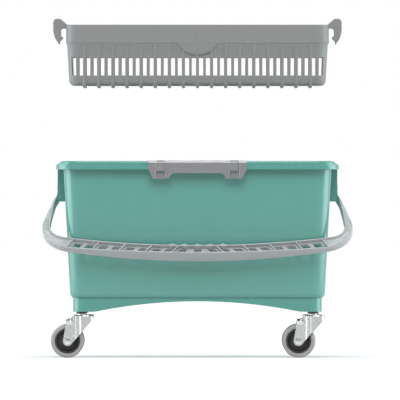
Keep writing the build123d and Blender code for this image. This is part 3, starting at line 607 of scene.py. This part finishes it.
def bar(inner, outer, top, bottom, corner):
    """Bar with a rounded section carried between two edges of (x, reach), from bottom to top."""
    across = outer - inner
    width = np.linalg.norm(across, axis=1, keepdims=True)
    angle = (np.arange(4)[:, None] * pi / 2 + quarter(3)).ravel()
    side = np.repeat([1, -1, -1, 1], 4)
    level = np.repeat([1, 1, -1, -1], 4)
    radius = np.minimum(corner, 0.45 * width)
    share = 0.5 + (side * (width / 2 - radius) + radius * np.cos(angle)) / width
    middle, half = (top + bottom) / 2, (top - bottom) / 2
    up = middle[:, None] + level * (half[:, None] - radius) + radius * np.sin(angle)
    x = inner[:, :1] + across[:, :1] * share
    reach = inner[:, 1:] + across[:, 1:] * share
    return surface(bail_place(x, reach, up), caps=True)


def grip_depth(x):
    """How far the grip reaches below its plane at x."""
    return grip_end_depth + arch_height(x, grip_half, grip_middle_depth - grip_end_depth)


def strap_half(reach):
    """Half depth of the strap at a reach, full beside the bucket and slim at the corner."""
    return np.interp(reach, [strap_full_reach, strap_slim_reach], [strap_half_depth, grip_top])


def scallop(x):
    """Height of the finger cusps: hollows of one radius, side by side in the middle of the grip."""
    radius = (scallop_half_pitch ** 2 + scallop_height ** 2) / (2 * scallop_height)
    across = np.abs((np.abs(x) % (2 * scallop_half_pitch)) - scallop_half_pitch)
    return np.where(np.abs(x) < scallop_reach, radius - np.sqrt(radius ** 2 - across ** 2), 0)


def bail_lip(edge, inward, cusps):
    """Lip along a whole edge of the bail, to one side of it, deeper in the grip and with cusps if asked."""
    whole = np.concatenate([edge, (edge * np.array([-1, 1]))[::-1][1:]])
    heading = np.gradient(whole, axis=0)
    heading /= np.linalg.norm(heading, axis=1, keepdims=True)
    side = np.stack([heading[:, 1], -heading[:, 0]], -1) * inward
    x, reach = whole.T
    in_grip = reach > strap_slim_reach
    cusp = scallop(x) * cusps * in_grip
    half = strap_half(reach)
    depth = np.where(in_grip, np.maximum(grip_depth(x), half), half)
    width = lip_wall + scallop_ridge * cusp
    return bar(whole, whole + side * width[:, None], half + cusp, -depth, bail_round)


def bail_dishes(inner, outer):
    """Dished floor of each strap and corner up to the channel, and the eyes."""
    near = stretch(inner, channel_end - rib_lean, dish_steps)
    far = stretch(outer, channel_end + rib_lean, dish_steps)
    half = strap_half((near[:, 1] + far[:, 1]) / 2)
    ring = np.array([(eye_bore, eye_inner_x), (eye_radius, eye_inner_x), (eye_radius, eye_outer_x),
                     (eye_bore, eye_outer_x)])
    sink, margin = (np.interp(np.arange(dish_steps), [dish_from, dish_to], ends)
                    for ends in ((-0.2, dish), (-0.01, 0.05)))
    start, end = (edge + (other - edge) * margin[:, None] for edge, other in ((near, far), (far, near)))
    parts = []
    for side in (-1, 1):
        parts.append(bar(start * (side, 1), end * (side, 1), half - sink, -half, bail_round))
        parts.append(lathe(ring * (1, side), 48, "x", (0, 0, pivot_z)))
    return parts


def bail_web():
    """Web between the lips, pierced by leaning holes."""
    ribs = rib_first + np.arange(rib_count) * rib_pitch
    right = np.concatenate([ribs[:-1] + hole_offset, ribs - hole_offset])
    holes = np.concatenate([[0.0], right, -right])
    edges = opening_edges(holes, 2 * hole_half, -channel_end - 1, channel_end + 1)
    inner, outer = bow(edges, *inner_bow), bow(edges, *outer_bow)
    margin = lip_wall + hole_margin
    reach = np.stack([inner + 1, inner + margin, outer - margin, outer - 1])
    lean = np.array([-1, -0.7, 0.7, 1])[:, None] * rib_lean * np.clip(edges / rib_first, -1, 1)
    present = np.ones((3, len(edges) - 1), bool)
    present[1] = ~near_any((edges[1:] + edges[:-1]) / 2, holes, hole_half)
    skins = [bail_place(edges + lean, reach, level) for level in (web_top, web_bottom)]
    return pierced(*skins, present, wrap=False)


def bail_ribs():
    """Ribs across the channel, leaning away from the middle towards the front."""
    parts = []
    half = rib_wall / 2
    for k in range(rib_count):
        x = rib_first + k * rib_pitch
        inner, outer = bow(x, *inner_bow) + 1, bow(x, *outer_bow) - 1
        levels = np.array([[grip_top - 0.3], [0.6 - grip_depth(x)]])
        for side in (-1, 1):
            start, end = side * (x - rib_lean), side * (x + rib_lean)
            plan = np.array([start - half, start + half, end + half, end - half])
            parts.append(surface(bail_place(plan, np.array([inner, inner, outer, outer]), levels), caps=True))
    return parts


inner_edge = bail_edge(strap_inner_line, corner_inner_x, corner_inner_radius, *inner_bow)
outer_edge = bail_edge(strap_outer_line, corner_outer_x, corner_outer_radius, *outer_bow)
lips = [bail_lip(inner_edge, 1, 1), bail_lip(outer_edge, -1, 0)]
piece("bail_handle", [*lips, *bail_dishes(inner_edge, outer_edge), bail_web(), *bail_ribs()], "handle",
      "light_grey_plastic", ["carry_handle"], 0.25)


# Sizes of the strainer basket in millimetres
basket_low, basket_high = (np.array(corner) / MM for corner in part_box("strainer_basket"))
hook_rise, foot_height = 9.0, 3.2
basket_top_z, basket_bottom_z = basket_high[2] - hook_rise, basket_low[2] + foot_height
hook_reach = 19.4
band_half_x = basket_high[0] - hook_reach
panel_rib_proud, panel_width, panel_drop, panel_rib, panel_rib_top = 0.6, 60.7, 17.4, 4.2, 8.3
band_half_y = basket_high[1] - panel_rib_proud
band_height, band_proud, band_corner, band_bead = 28.2, 1.4, 17.8, 0.45
basket_wall, basket_draft, basket_floor, basket_foot_round = 2.0, 3.6, 3.0, 6.0
drain_pitch, drain_width, drain_top, drain_height = 10.6, 6.6, 48.6, 27.7
drain_columns, drain_end_columns = 36, 14
foot_rib, foot_rib_count, foot_rib_proud, foot_rib_round = 4.6, 17, 1.7, 1.4
floor_drain_length, floor_drain_width, floor_drain_pitch, floor_drain_rows = 28.0, 11.0, 38.0, 4
hook_y, hook_width, hook_throat, hook_throat_drop, hook_barb = 62.0, 12.0, 8.8, 4.3, 5.6
hook_barb_top, hook_barb_height, hook_drop, hook_tail, hook_wall = 17.2, 3.6, 28.8, 10.8, 3.0
hook_round, throat_round = 5.5, 3.2
band_bottom_z = basket_top_z - band_height
basket_half_x, basket_half_y = band_half_x - band_proud, band_half_y - band_proud
side_height = band_bottom_z - basket_bottom_z


def basket_row(z, inset):
    """Row of the tapered basket at z, drawn in by inset."""
    draw = basket_draft * (band_bottom_z - z) / side_height + inset
    return basket_half_x - draw, basket_half_y - draw, band_corner - band_proud - draw, z


def basket_sides():
    """Slotted sides and band: an outer and an inner skin, pierced at the slots."""
    slot_top = basket_top_z - drain_top
    slot_bottom = slot_top - drain_height
    slot_middle = (slot_top + slot_bottom) / 2
    centres, end_centres = spread(drain_columns, drain_pitch), spread(drain_end_columns, drain_pitch)
    half_x, half_y, corner, _ = basket_row(slot_middle, 0)
    flat_x, flat_y = half_x - corner, half_y - corner
    side_edges = opening_edges(centres[np.abs(centres) + drain_width / 2 < flat_x], drain_width)
    end_edges = np.clip(opening_edges(end_centres, drain_width), 0.1 - flat_y, flat_y - 0.1)
    slot_turn = np.arccos((centres[-1] + np.array([1, -1]) * drain_width / 2 - flat_x) / corner)
    turn = np.sort(np.concatenate([np.linspace(0, slot_turn[0], 5)[:-1], slot_turn,
                                   [slot_turn.mean(), (slot_turn[1] + pi / 2) / 2, pi / 2]]))
    columns = ring_columns(end_edges / flat_y, side_edges / flat_x, turn)
    levels = [slot_bottom, slot_middle, slot_top, band_bottom_z - 2.6]
    band = [(0, 1.0), (band_bead, 1.3), (band_bead, 2.2), (0, 2.8), (0, band_height - 0.7),
            (-0.5, band_height)]
    skins = []
    for depth, foot_bottom in ((0, basket_bottom_z), (basket_wall, basket_bottom_z + basket_floor)):
        foot = rounding(basket_foot_round - depth, basket_foot_round - depth, 3)[1:]
        skins.append([basket_row(foot_bottom + rise, depth + inset) for inset, rise in foot])
        skins[-1] += [basket_row(z, depth) for z in levels]
    outer_rows, inner_rows = skins
    outer_rows += [(band_half_x + proud, band_half_y + proud, band_corner + proud, band_bottom_z + rise)
                   for proud, rise in band]
    inner_rows += [basket_row(band_bottom_z + rise, basket_wall) for _, rise in band]
    outer, inner = rings(outer_rows, columns), rings(inner_rows, columns)
    middle = (outer[4] + np.roll(outer[4], -1, 0)) / 2
    straight = [np.abs(column) > 0.999 for column in columns[2:]]
    on_end, on_side = (here & np.roll(here, -1) for here in straight)
    in_corner = (np.abs(middle[:, 0]) > flat_x) & ~on_end
    open_side = on_side & near_any(middle[:, 0], centres, drain_width / 2 - 0.3)
    open_end = on_end & near_any(middle[:, 1], end_centres, drain_width / 2 - 0.3)
    open_corner = in_corner & near_any(np.abs(middle[:, 0]), centres[-1:], drain_width / 2)
    present = np.ones((len(outer_rows) - 1, outer.shape[1]), bool)
    present[3:5, open_side | open_end | open_corner] = False
    return pierced(outer, inner, present)


def basket_floor_plate():
    """Floor with rows of drains between the foot ribs, framed by a rim that meets the sides."""
    half_x, half_y, corner, _ = basket_row(basket_bottom_z, basket_foot_round)
    plate_x, plate_y, floor_top = half_x - 5, half_y - 2, basket_bottom_z + basket_floor
    edges, open_runs = [], []
    for count, pitch, width, end in ((foot_rib_count - 1, 2 * drain_pitch, floor_drain_width, plate_x),
                                     (floor_drain_rows, floor_drain_pitch, floor_drain_length, plate_y)):
        centres = spread(count, pitch)
        edges.append(opening_edges(centres, width, -end, end))
        open_runs.append(near_any((edges[-1][1:] + edges[-1][:-1]) / 2, centres, width / 2))
    x, y = np.meshgrid(*edges)
    present = ~(open_runs[1][:, None] & open_runs[0])
    top, bottom = (np.stack([x, y, np.full_like(x, z)], -1) for z in (floor_top, basket_bottom_z))
    columns = ring_columns([-near_corner, 0, near_corner], [-near_corner, 0, near_corner], quarter(6))
    outer, inner = (half_x + 1, half_y + 1, corner + 1), (plate_x, plate_y, 0.05)
    rim = [(*outer, basket_bottom_z), (*outer, floor_top), (*inner, floor_top), (*inner, basket_bottom_z)]
    return [pierced(top, bottom, present, wrap=False), loop_surface(rings(rim, columns))]


def rib_outline(inset):
    """Side view of a foot rib on one long side as (y, z), with its outer edge drawn in by inset."""
    top_y = basket_half_y + foot_rib_proud - inset
    low_y, low_z = top_y - basket_draft, basket_bottom_z - foot_height + inset
    rib_top_z = band_bottom_z - 1.4
    edge = rounding(basket_foot_round, basket_foot_round, 5)[::-1]
    foot = [(low_y - back, low_z + rise) for back, rise in edge]
    inner_y = basket_half_y - basket_draft - basket_wall / 2
    return np.array([(top_y - 0.8, rib_top_z), (top_y, rib_top_z - 1.2), *foot,
                     (low_y - basket_foot_round, basket_bottom_z + 1), (inner_y - 2, basket_bottom_z + 3),
                     (inner_y, basket_bottom_z + 8), (inner_y + basket_draft, rib_top_z)])


def basket_ribs():
    """Upright round-edged ribs between the slots, carried round under the floor as feet."""
    parts = []
    half = foot_rib / 2
    edge = [(half - rise, rib_outline(inset)) for inset, rise in rounding(foot_rib_round, foot_rib_round, 3)]
    section = [(-shift, line) for shift, line in edge] + edge[::-1]
    reach = basket_half_y - basket_draft + foot_rib_proud - basket_foot_round + 0.01
    low_z = basket_bottom_z - foot_height
    for x in spread(foot_rib_count, 2 * drain_pitch):
        for side in (-1, 1):
            rows = [np.insert(line * (side, 1), 0, x + shift, 1) for shift, line in section]
            parts.append(surface(np.stack(rows), caps=True))
        parts.append(block((x - half, -reach, low_z), (x + half, reach, basket_bottom_z + 1)))
    return parts


def panel_skin(shape, side, depth, proud):
    """Outline on a long side of the band, from a depth inside its face to a height proud of it."""
    start, end = sorted((side * (band_half_y - depth), side * (band_half_y + proud)))
    return slab(shape, start, end, "xz")


def basket_panels():
    """Plain half-round panel with a beaded edge, and an upright rib, in the middle of each long side."""
    half = panel_width / 2
    x = np.linspace(-half, half, 25)
    arc = np.stack([x, band_bottom_z - arch_height(x * 0.9999, half, panel_drop)], -1)
    outline = np.concatenate([arc, [(half, band_bottom_z + 1.2), (-half, band_bottom_z + 1.2)]])
    inner_z = band_bottom_z + 1.2 + (arc[:, 1] - band_bottom_z) * (1 - 0.7 / panel_drop)
    inner_arc = np.stack([x * (1 - 1.8 / half), inner_z], -1)
    bead = np.concatenate([arc + np.array([0, 0.6]), inner_arc[::-1]])
    low_z, high_z = band_bottom_z - panel_drop + 0.2, basket_top_z - panel_rib_top
    parts = []
    for side in (-1, 1):
        parts += [panel_skin(outline, side, band_proud + 1, 0), panel_skin(bead, side, 1, band_bead)]
        rows = []
        for proud, draw in ((-1, 0), (0, 0), (panel_rib_proud, panel_rib / 4)):
            half_rib = panel_rib / 2 - draw
            corners = [(-half_rib, low_z + draw), (half_rib, low_z + draw), (half_rib, high_z - draw),
                       (-half_rib, high_z - draw)]
            rows.append([(x, side * (band_half_y + proud), z) for x, z in corners])
        parts.append(surface(np.array(rows), caps=True))
    return parts


def basket_hooks():
    """Hooks that hang on the end rims: a neck over the rim, a drop outside it and a barbed tail."""
    top_z, barb_z, end_z = (basket_top_z + rise for rise in (hook_rise, -hook_barb_top, -hook_drop))
    reaches = (hook_throat, hook_reach, hook_tail, hook_barb)
    neck_x, far_x, tail_x, barb_x = (band_half_x + reach for reach in reaches)
    throat_z, inner_x = basket_top_z - hook_throat_drop, band_half_x - basket_wall
    outline = np.array([
        (neck_x - 3.0, top_z - 2.4), (neck_x - 1.2, top_z - 0.7), (neck_x + 1.0, top_z),
        *[(far_x - back, top_z - drop) for back, drop in rounding(hook_round, hook_round, 5)],
        (far_x, barb_z + hook_throat), (far_x - 0.9, barb_z + 2.5),
        (far_x - hook_wall, barb_z - hook_barb_height), (tail_x + 0.8, end_z + 0.6), (tail_x, end_z),
        (tail_x - 0.4, end_z + 4.6),
        (barb_x, barb_z - hook_barb_height / 2), (barb_x + 0.4, barb_z - 0.2), (neck_x, barb_z),
        *[(neck_x - back, throat_z - drop) for drop, back in rounding(throat_round, throat_round, 5)],
        (band_half_x - 0.5, throat_z), (inner_x, basket_top_z - band_height / 2), (inner_x, basket_top_z)])
    return [slab(outline * (sx, 1), sy * hook_y - hook_width / 2, sy * hook_y + hook_width / 2, "xz")
            for sx in (-1, 1) for sy in (-1, 1)]


basket = [basket_sides(), *basket_floor_plate(), *basket_ribs(), *basket_panels(), *basket_hooks()]
piece("wringing_basket", basket, "basket", "grey_plastic", ["strainer_basket"], 0.35)


# Sizes of the clip on the front rim in millimetres
clip_half, clip_wall, clip_crown, clip_bevel = 74.25, 2.5, 0.8, 3.4
clip_top_z, clip_back = crest_z + clip_crown, rim_half_y + 0.05
clip_front, clip_crest = clip_back + clip_wall, rim_half_y - rim_slope_run
clip_foot_z, clip_end_z, clip_waist_z = clip_top_z - 27.5, clip_top_z - 12.0, clip_top_z - 19.1
foot_out, foot_in, waist_x = clip_half - 7.0, clip_half - 32.2, clip_half - 41.5
latch_x, latch_width, latch_edge, latch_proud, latch_recess = 55.0, 17.0, 1.5, 1.6, 2.3
latch_top_z, tongue_z, tongue_gap = clip_top_z - clip_bevel, clip_top_z - 16.1, 1.2
slot_half, slot_depth, slot_run = 6.0, 2.0, 0.5


def clip_lower_edge(x):
    """Lower edge of the clip's plate at x: a waist, a hollow run down to each foot, a sloped end."""
    hollow = np.linspace(0, 1, 9)
    stops = np.concatenate([[0], waist_x + (foot_in - waist_x) * hollow, [foot_out, clip_half]])
    drop = (clip_waist_z - clip_foot_z) * (1 - np.sqrt(1 - hollow ** 2))
    levels = np.concatenate([[clip_waist_z], clip_waist_z - drop, [clip_foot_z, clip_end_z]])
    return np.interp(np.abs(x), stops, levels)


def clip_columns():
    """Stops along the clip, with ones in its latch recesses and slots; a wall has two equal stops."""
    edge = latch_width / 2 - latch_edge
    walls = [(edge, 0, 0), (edge, 1, 0), (slot_half, 1, 0), (slot_half, 1, 1)]
    right = [(x, 0, 0) for x in (0, *np.linspace(waist_x, foot_in, 9))]
    right += [(latch_x - reach, recess, slot) for reach, recess, slot in walls]
    right += [(latch_x + reach, recess, slot) for reach, recess, slot in walls[::-1]]
    right += [(foot_out, 0, 0), (clip_half, 0, 0)]
    left = [(-x, recess, slot) for x, recess, slot in right[:0:-1]]
    return np.array(left + right).T


def clip_body():
    """Clip's profile carried along the rim: front plate, bevelled top with slots, wedge on the slope."""
    x, recess, slot = clip_columns()
    low = clip_lower_edge(x)
    flat = np.ones_like(x)
    plate_y, bevel_y = -clip_front + recess * latch_recess, -clip_front + clip_bevel
    cut, slot_back_y = slot * slot_depth, bevel_y - slot * slot_run
    profile = [(plate_y, low), (plate_y, flat * latch_top_z), (-clip_front * flat, flat * latch_top_z),
               (bevel_y - cut, clip_top_z - cut), (slot_back_y, clip_top_z - cut),
               (slot_back_y, clip_top_z * flat), (-clip_crest * flat, clip_top_z * flat),
               (-clip_crest * flat, flat * (crest_z + 0.05)), (-clip_back * flat, flat * (lip_top_z + 0.3)),
               (-clip_back * flat, low)]
    points = np.stack([np.stack([x, y, z], -1) for y, z in profile], 1)
    return surface(points, caps=True)


def clip_latches():
    """Latches on the feet: two upright edges, with a tongue between them above an open recess."""
    parts = []
    back_y, front_y = -clip_front + latch_recess, -clip_front - latch_proud
    half, soft = latch_edge / 2, latch_edge / 3
    root_y = -clip_front + 0.5
    edge = np.array([(-half, root_y), (-half, front_y + soft), (soft - half, front_y), (half - soft, front_y),
                     (half, front_y + soft), (half, root_y)])
    tongue = [(back_y, latch_top_z - 0.1), (-clip_front - 0.1, latch_top_z - 0.1), (front_y, tongue_z + 0.4),
              (front_y + 0.4, tongue_z), (back_y, tongue_z)]
    inside = latch_width / 2 - latch_edge
    for middle in (-latch_x, latch_x):
        for side in (-1, 1):
            place = np.array([middle + side * (latch_width - latch_edge) / 2, 0])
            parts.append(slab(edge + place, clip_foot_z + 0.1, latch_top_z, "xy"))
        parts.append(slab(tongue, middle - inside + 0.1, middle + inside - tongue_gap, "yz"))
    return parts


piece("rim_clip_moulding", [clip_body(), *clip_latches()], "bucket", "clip_plastic",
      ["rim_clip"], 0.3)


# Sizes of the castors in millimetres, each drawn with its swivel axis on z and its wheel trailing to -x
wheel_radius, wheel_half, tread_thickness, tread_round = 25.0, 9.0, 6.2, 2.5
core_radius = wheel_radius - tread_thickness
head_top_z, trail, axle_z = 63.9, 21.7, wheel_radius
fork_half, fork_sheet, fork_nose, fork_back, fork_round = 13.0, 2.0, 17.7, 14.5, 1.8
nose_z, leg_top_z, shoulder_slope = head_top_z - 4.6, head_top_z - 6.9, 1.2
leg_end_radius, leg_back_lean = 7.2, 5.6
fork_nose_round, tab_reach, tab_height, head_bore = 8.0, 2.4, 6.0, 4.2
cup_centre, cup_half, cup_proud = -6.2, 6.8, 2.95
axle_radius, axle_head_radius, axle_head_height, axle_head_round = 3.0, 4.8, 1.3, 0.7
joints = {joint["name"]: joint for joint in frame["record"]["behaviour"]["joints"]}


def castor_stand(part, corner):
    """Part of a castor turned and moved to its corner."""
    points, faces = part
    x, y, _ = (value / MM for value in joints[f"swivel_{corner}"]["pos_m"])
    across, along, _ = joints[f"roll_{corner}"]["axis"]
    turned = np.stack([-points[:, 0] * along - points[:, 1] * across + x,
                       points[:, 0] * across - points[:, 1] * along + y, points[:, 2]], -1)
    return turned, faces


def fork_lower_edge(x):
    """Lower edge of a cheek at x: the leg's round end, then a line that touches it, up to the nose."""
    run, rise = fork_nose + trail, nose_z - axle_z
    length = np.hypot(run, rise)
    tilt = np.arctan2(rise, run) + np.arcsin(leg_end_radius / length)
    touch_x = -trail + leg_end_radius * np.sin(tilt)
    touch_z = axle_z - leg_end_radius * np.cos(tilt)
    round_end = axle_z - np.sqrt(np.maximum(leg_end_radius ** 2 - (x + trail) ** 2, 0))
    return np.where(x < touch_x, round_end, touch_z + (x - touch_x) * np.tan(tilt))


def fork_upper_edge(x):
    """Upper edge of a cheek at x: the leg's back edge, the tab's shoulder, then the head."""
    tab_x = -trail - leg_end_radius + leg_back_lean
    stops = [-trail - leg_end_radius, tab_x, -fork_back, -fork_back + 0.01]
    return np.interp(x, stops, [axle_z, leg_top_z, leg_top_z + shoulder_slope, head_top_z - fork_round])


def fork_path():
    """Plan of the bent sheet from one leg's back edge round the nose to the other's, with its normals."""
    leg_x, flat_end = -trail - leg_end_radius, fork_nose - fork_nose_round
    cheek_x = np.concatenate([np.linspace(leg_x, leg_x + leg_back_lean, 9)[:-1],
                              np.linspace(leg_x + leg_back_lean, -fork_back, 9),
                              np.linspace(-fork_back + 0.01, flat_end, 41)])
    turn = quarter(7)[1:]
    straight = np.zeros_like(cheek_x)
    out_x, out_y = np.append(straight, np.sin(turn)), np.append(straight - 1, -np.cos(turn))
    x = np.append(cheek_x, flat_end + fork_nose_round * np.sin(turn))
    y = np.append(straight, fork_nose_round * (1 - np.cos(turn))) - fork_half
    normal = np.stack([np.append(out_x, out_x[::-1]), np.append(out_y, -out_y[::-1])], -1)
    return np.append(x, x[::-1]), np.append(y, -y[::-1]), normal


def fork_proud(x, z):
    """How far the sheet is pressed out at x and z: round cups beside the bearing, and a bead on each tab."""
    reach = np.clip(1 - np.abs(x - cup_centre) / cup_half, 0, 1)
    cup = cup_proud * np.sin(reach * pi / 2) ** 2
    level = np.clip((z - leg_top_z + tab_height) / tab_height, 0, 1)
    bead = tab_reach * np.sin(pi * level ** 1.6)
    return np.where(x < -fork_back + 0.005, bead, cup + 0 * z)


def fork_shell():
    """Pressed fork: a sheet bent round the nose, between the lower and the upper edge of its cheeks."""
    x, y, normal = fork_path()
    share = np.concatenate([np.linspace(0, 0.7, 9), np.linspace(0.7, 1, 13)[1:]])[:, None]
    z = fork_lower_edge(x) + share * (fork_upper_edge(x) - fork_lower_edge(x))
    proud = fork_proud(x, z)
    skins = [np.stack([x + normal[:, 0] * (proud - depth), y + normal[:, 1] * (proud - depth), z], -1)
             for depth in (0, fork_sheet)]
    return pierced(*skins, wrap=False)


def fork_head():
    """Head of the fork: a rolled edge over the cheeks and the nose, and a flat top up to the collar."""
    x, y, normal = fork_path()
    kept = x > -fork_back + 0.005
    x, y, normal = x[kept], y[kept], normal[kept]
    proud = fork_proud(x, head_top_z)
    angle = np.arctan2(y, x)
    rows = []
    for turn in quarter(5):
        out = proud * cos(turn) - fork_round * (1 - cos(turn))
        rows.append(np.stack([x + normal[:, 0] * out, y + normal[:, 1] * out,
                              np.full_like(x, head_top_z - fork_round * (1 - sin(turn)))], -1))
    rim = rows[-1]
    collar = np.stack([head_bore * np.cos(angle), head_bore * np.sin(angle), np.full_like(x, head_top_z)], -1)
    rows += [rim + (collar - rim) * share for share in (0.35, 0.7, 1.0)]
    outer = np.stack(rows)
    inner = outer - np.array([0, 0, fork_sheet])
    inner[0, :, :2] -= normal * fork_sheet
    inner[1:4, :, :2] -= normal * fork_sheet * np.array([0.8, 0.6, 0.3])[:, None, None]
    inner[0, :, 2] = outer[0, :, 2]
    return pierced(outer, inner, wrap=False)


def wheel_lathe(profile, steps=72):
    """Profile of (radius, offset) turned about the axle."""
    return lathe(profile, steps, "y", (-trail, 0, axle_z))


def both_sides(half):
    """Closed profile from its half on one side of the wheel, from the bore outwards."""
    return half + [(radius, -offset) for radius, offset in half[::-1]]


# Half sections of a wheel as (radius, offset): tread with a groove, core with its hub, dish, ring and rim
groove = 21.0
tread_half = [(core_radius + 0.05, wheel_half - 0.7), (core_radius + 0.7, wheel_half),
              (groove - 0.4, wheel_half + 0.1), (groove, wheel_half - 0.25),
              (groove + 0.4, wheel_half + 0.05)]
tread_edge = rounding(tread_round, tread_round, 5)
tread_half += [(wheel_radius - inset, wheel_half - back) for inset, back in tread_edge]
hub_face, dish_face, ring_face, rim_face = 10.7, 3.5, 5.7, 8.0
core_half = [(head_bore, hub_face), (7.6, hub_face), (8.0, hub_face - 0.4), (8.0, dish_face + 0.4),
             (8.6, dish_face), (12.2, dish_face), (12.8, dish_face + 0.4), (12.8, ring_face - 0.3),
             (13.1, ring_face), (14.1, ring_face), (14.4, ring_face - 0.3), (14.4, dish_face + 0.4),
             (14.9, dish_face), (15.0, dish_face + 0.1), (15.5, rim_face - 0.6), (16.0, rim_face),
             (core_radius - 0.4, rim_face), (core_radius, rim_face - 0.4)]
head_z = fork_half + axle_head_height
axle_head = [(on_axis, fork_half), (axle_head_radius, fork_half)]
axle_head += [(axle_head_radius - inset, head_z - drop)
              for drop, inset in rounding(axle_head_round, axle_head_round, 4)]
axle_head += [(on_axis, head_z)]
far_head = [(radius, -offset) for radius, offset in axle_head]
pin = [(on_axis, -fork_half), (axle_radius, -fork_half), (axle_radius, fork_half), (on_axis, fork_half)]
for corner in ("front_left", "front_right", "rear_left", "rear_right"):
    castor, wheel = f"castor_{corner}", f"wheel_{corner}"
    shapes = {
        "fork_pressing": ([fork_shell(), fork_head()], castor, "zinc_steel", "castor_fork", 0.3),
        "axle_rivet": ([wheel_lathe(pin, 32), wheel_lathe(axle_head, 40), wheel_lathe(far_head, 40)], castor,
                       "zinc_steel", "castor_axle", 0.15),
        "tread_ring": ([wheel_lathe(both_sides(tread_half))], wheel, "grey_rubber", "wheel_tread", 0.15),
        "stepped_core": ([wheel_lathe(both_sides(core_half))], wheel, "black_plastic", "wheel_core", 0.15),
    }
    for name, (parts, body, slot, node, edge_round) in shapes.items():
        piece(f"{name}_{corner}", [castor_stand(part, corner) for part in parts], body, slot,
              [f"{node}_{corner}"], edge_round)


def seen_ray(tree):
    """One for a ray from the lens, straight, mirrored or through a clear body; nothing for other light."""
    ray = tree.nodes.new("ShaderNodeLightPath")
    seen = math_node(tree, "MAXIMUM", ray.outputs["Is Camera Ray"], ray.outputs["Is Transmission Ray"])
    return math_node(tree, "MAXIMUM", seen, ray.outputs["Is Glossy Ray"])


def white_room():
    """White world: white behind the object for lens and reflections, dimmer in front and as light."""
    world = bpy.data.worlds.new("white_room")
    bpy.context.scene.world = world
    world.use_nodes = True
    tree = world.node_tree
    light = tree.nodes["Background"]
    light.inputs["Color"].default_value = (1, 1, 1, 1)
    way = tree.nodes.new("ShaderNodeSeparateXYZ")
    tree.links.new(tree.nodes.new("ShaderNodeTexCoord").outputs["Generated"], way.inputs["Vector"])
    behind = ramp_range(tree, way.outputs["Y"], -0.5, 0.3, room_front, 1.0)
    white = math_node(tree, "MULTIPLY", seen_ray(tree), behind)
    tree.links.new(math_node(tree, "MAXIMUM", white, room_light), light.inputs["Strength"])


def studio_floor():
    """Wide pale floor: plain by the object, where it takes the shadow, white further off and mirrored."""
    half = 30.0
    corners = [(-half, -half, 0), (half, -half, 0), (half, half, 0), (-half, half, 0)]
    mesh = bpy.data.meshes.new("floor")
    mesh.from_pydata(corners, [], [(0, 1, 2, 3)])
    floor = bpy.data.objects.new("floor", mesh)
    bpy.context.scene.collection.objects.link(floor)
    material = bpy.data.materials.new("pale_floor")
    material.use_nodes = True
    tree = material.node_tree
    shader = tree.nodes["Principled BSDF"]
    looks = {"Base Color": (0.6, 0.6, 0.6, 1), "Roughness": 0.9, "Specular IOR Level": 0.0,
             "Emission Color": (1, 1, 1, 1)}
    for label, value in looks.items():
        shader.inputs[label].default_value = value
    distance = tree.nodes.new("ShaderNodeVectorMath")
    distance.operation = "LENGTH"
    tree.links.new(tree.nodes.new("ShaderNodeTexCoord").outputs["Object"], distance.inputs[0])
    white = ramp_range(tree, distance.outputs["Value"], 0.24, 0.8, floor_near, 1.0)
    glossy = tree.nodes.new("ShaderNodeLightPath").outputs["Is Glossy Ray"]
    white = math_node(tree, "MAXIMUM", white, math_node(tree, "MULTIPLY", glossy, floor_mirror))
    tree.links.new(math_node(tree, "MULTIPLY", seen_ray(tree), white), shader.inputs["Emission Strength"])
    mesh.materials.append(material)


def soft_box(name, place, size, power, tint=(1, 1, 1)):
    """Square area lamp at a place, turned to the middle of the bucket."""
    lamp = bpy.data.lights.new(name, "AREA")
    lamp.color = tint
    lamp.size = size
    lamp.energy = power
    holder = bpy.data.objects.new(name, lamp)
    holder.location = place
    holder.rotation_euler = (Vector(lamp_aim) - holder.location).to_track_quat("-Z", "Y").to_euler()
    bpy.context.scene.collection.objects.link(holder)


def level_camera():
    """Long level camera in front of the tub, framed on a square picture."""
    data = bpy.data.cameras.new("camera")
    data.sensor_width = sensor_width
    data.lens = sensor_width * camera_distance / view_width
    data.clip_end = 100.0
    camera = bpy.data.objects.new("camera", data)
    camera.location = (camera_x, -camera_distance, camera_z)
    camera.rotation_euler = (pi / 2, 0, 0)
    bpy.context.scene.collection.objects.link(camera)
    bpy.context.scene.camera = camera


white_room()
studio_floor()
soft_box("left_box", (-1.5, -0.1, 0.5), 1.2, 18.0, cool)
soft_box("right_box", (1.5, -0.1, 0.5), 1.2, 18.0, cool)
soft_box("key_box", (0, -1.6, 1.75), 1.3, 32.0)
soft_box("top_box", (0, 0.1, 2.1), 0.8, 16.0)
level_camera()
bpy.context.scene.view_settings.view_transform = "Standard"
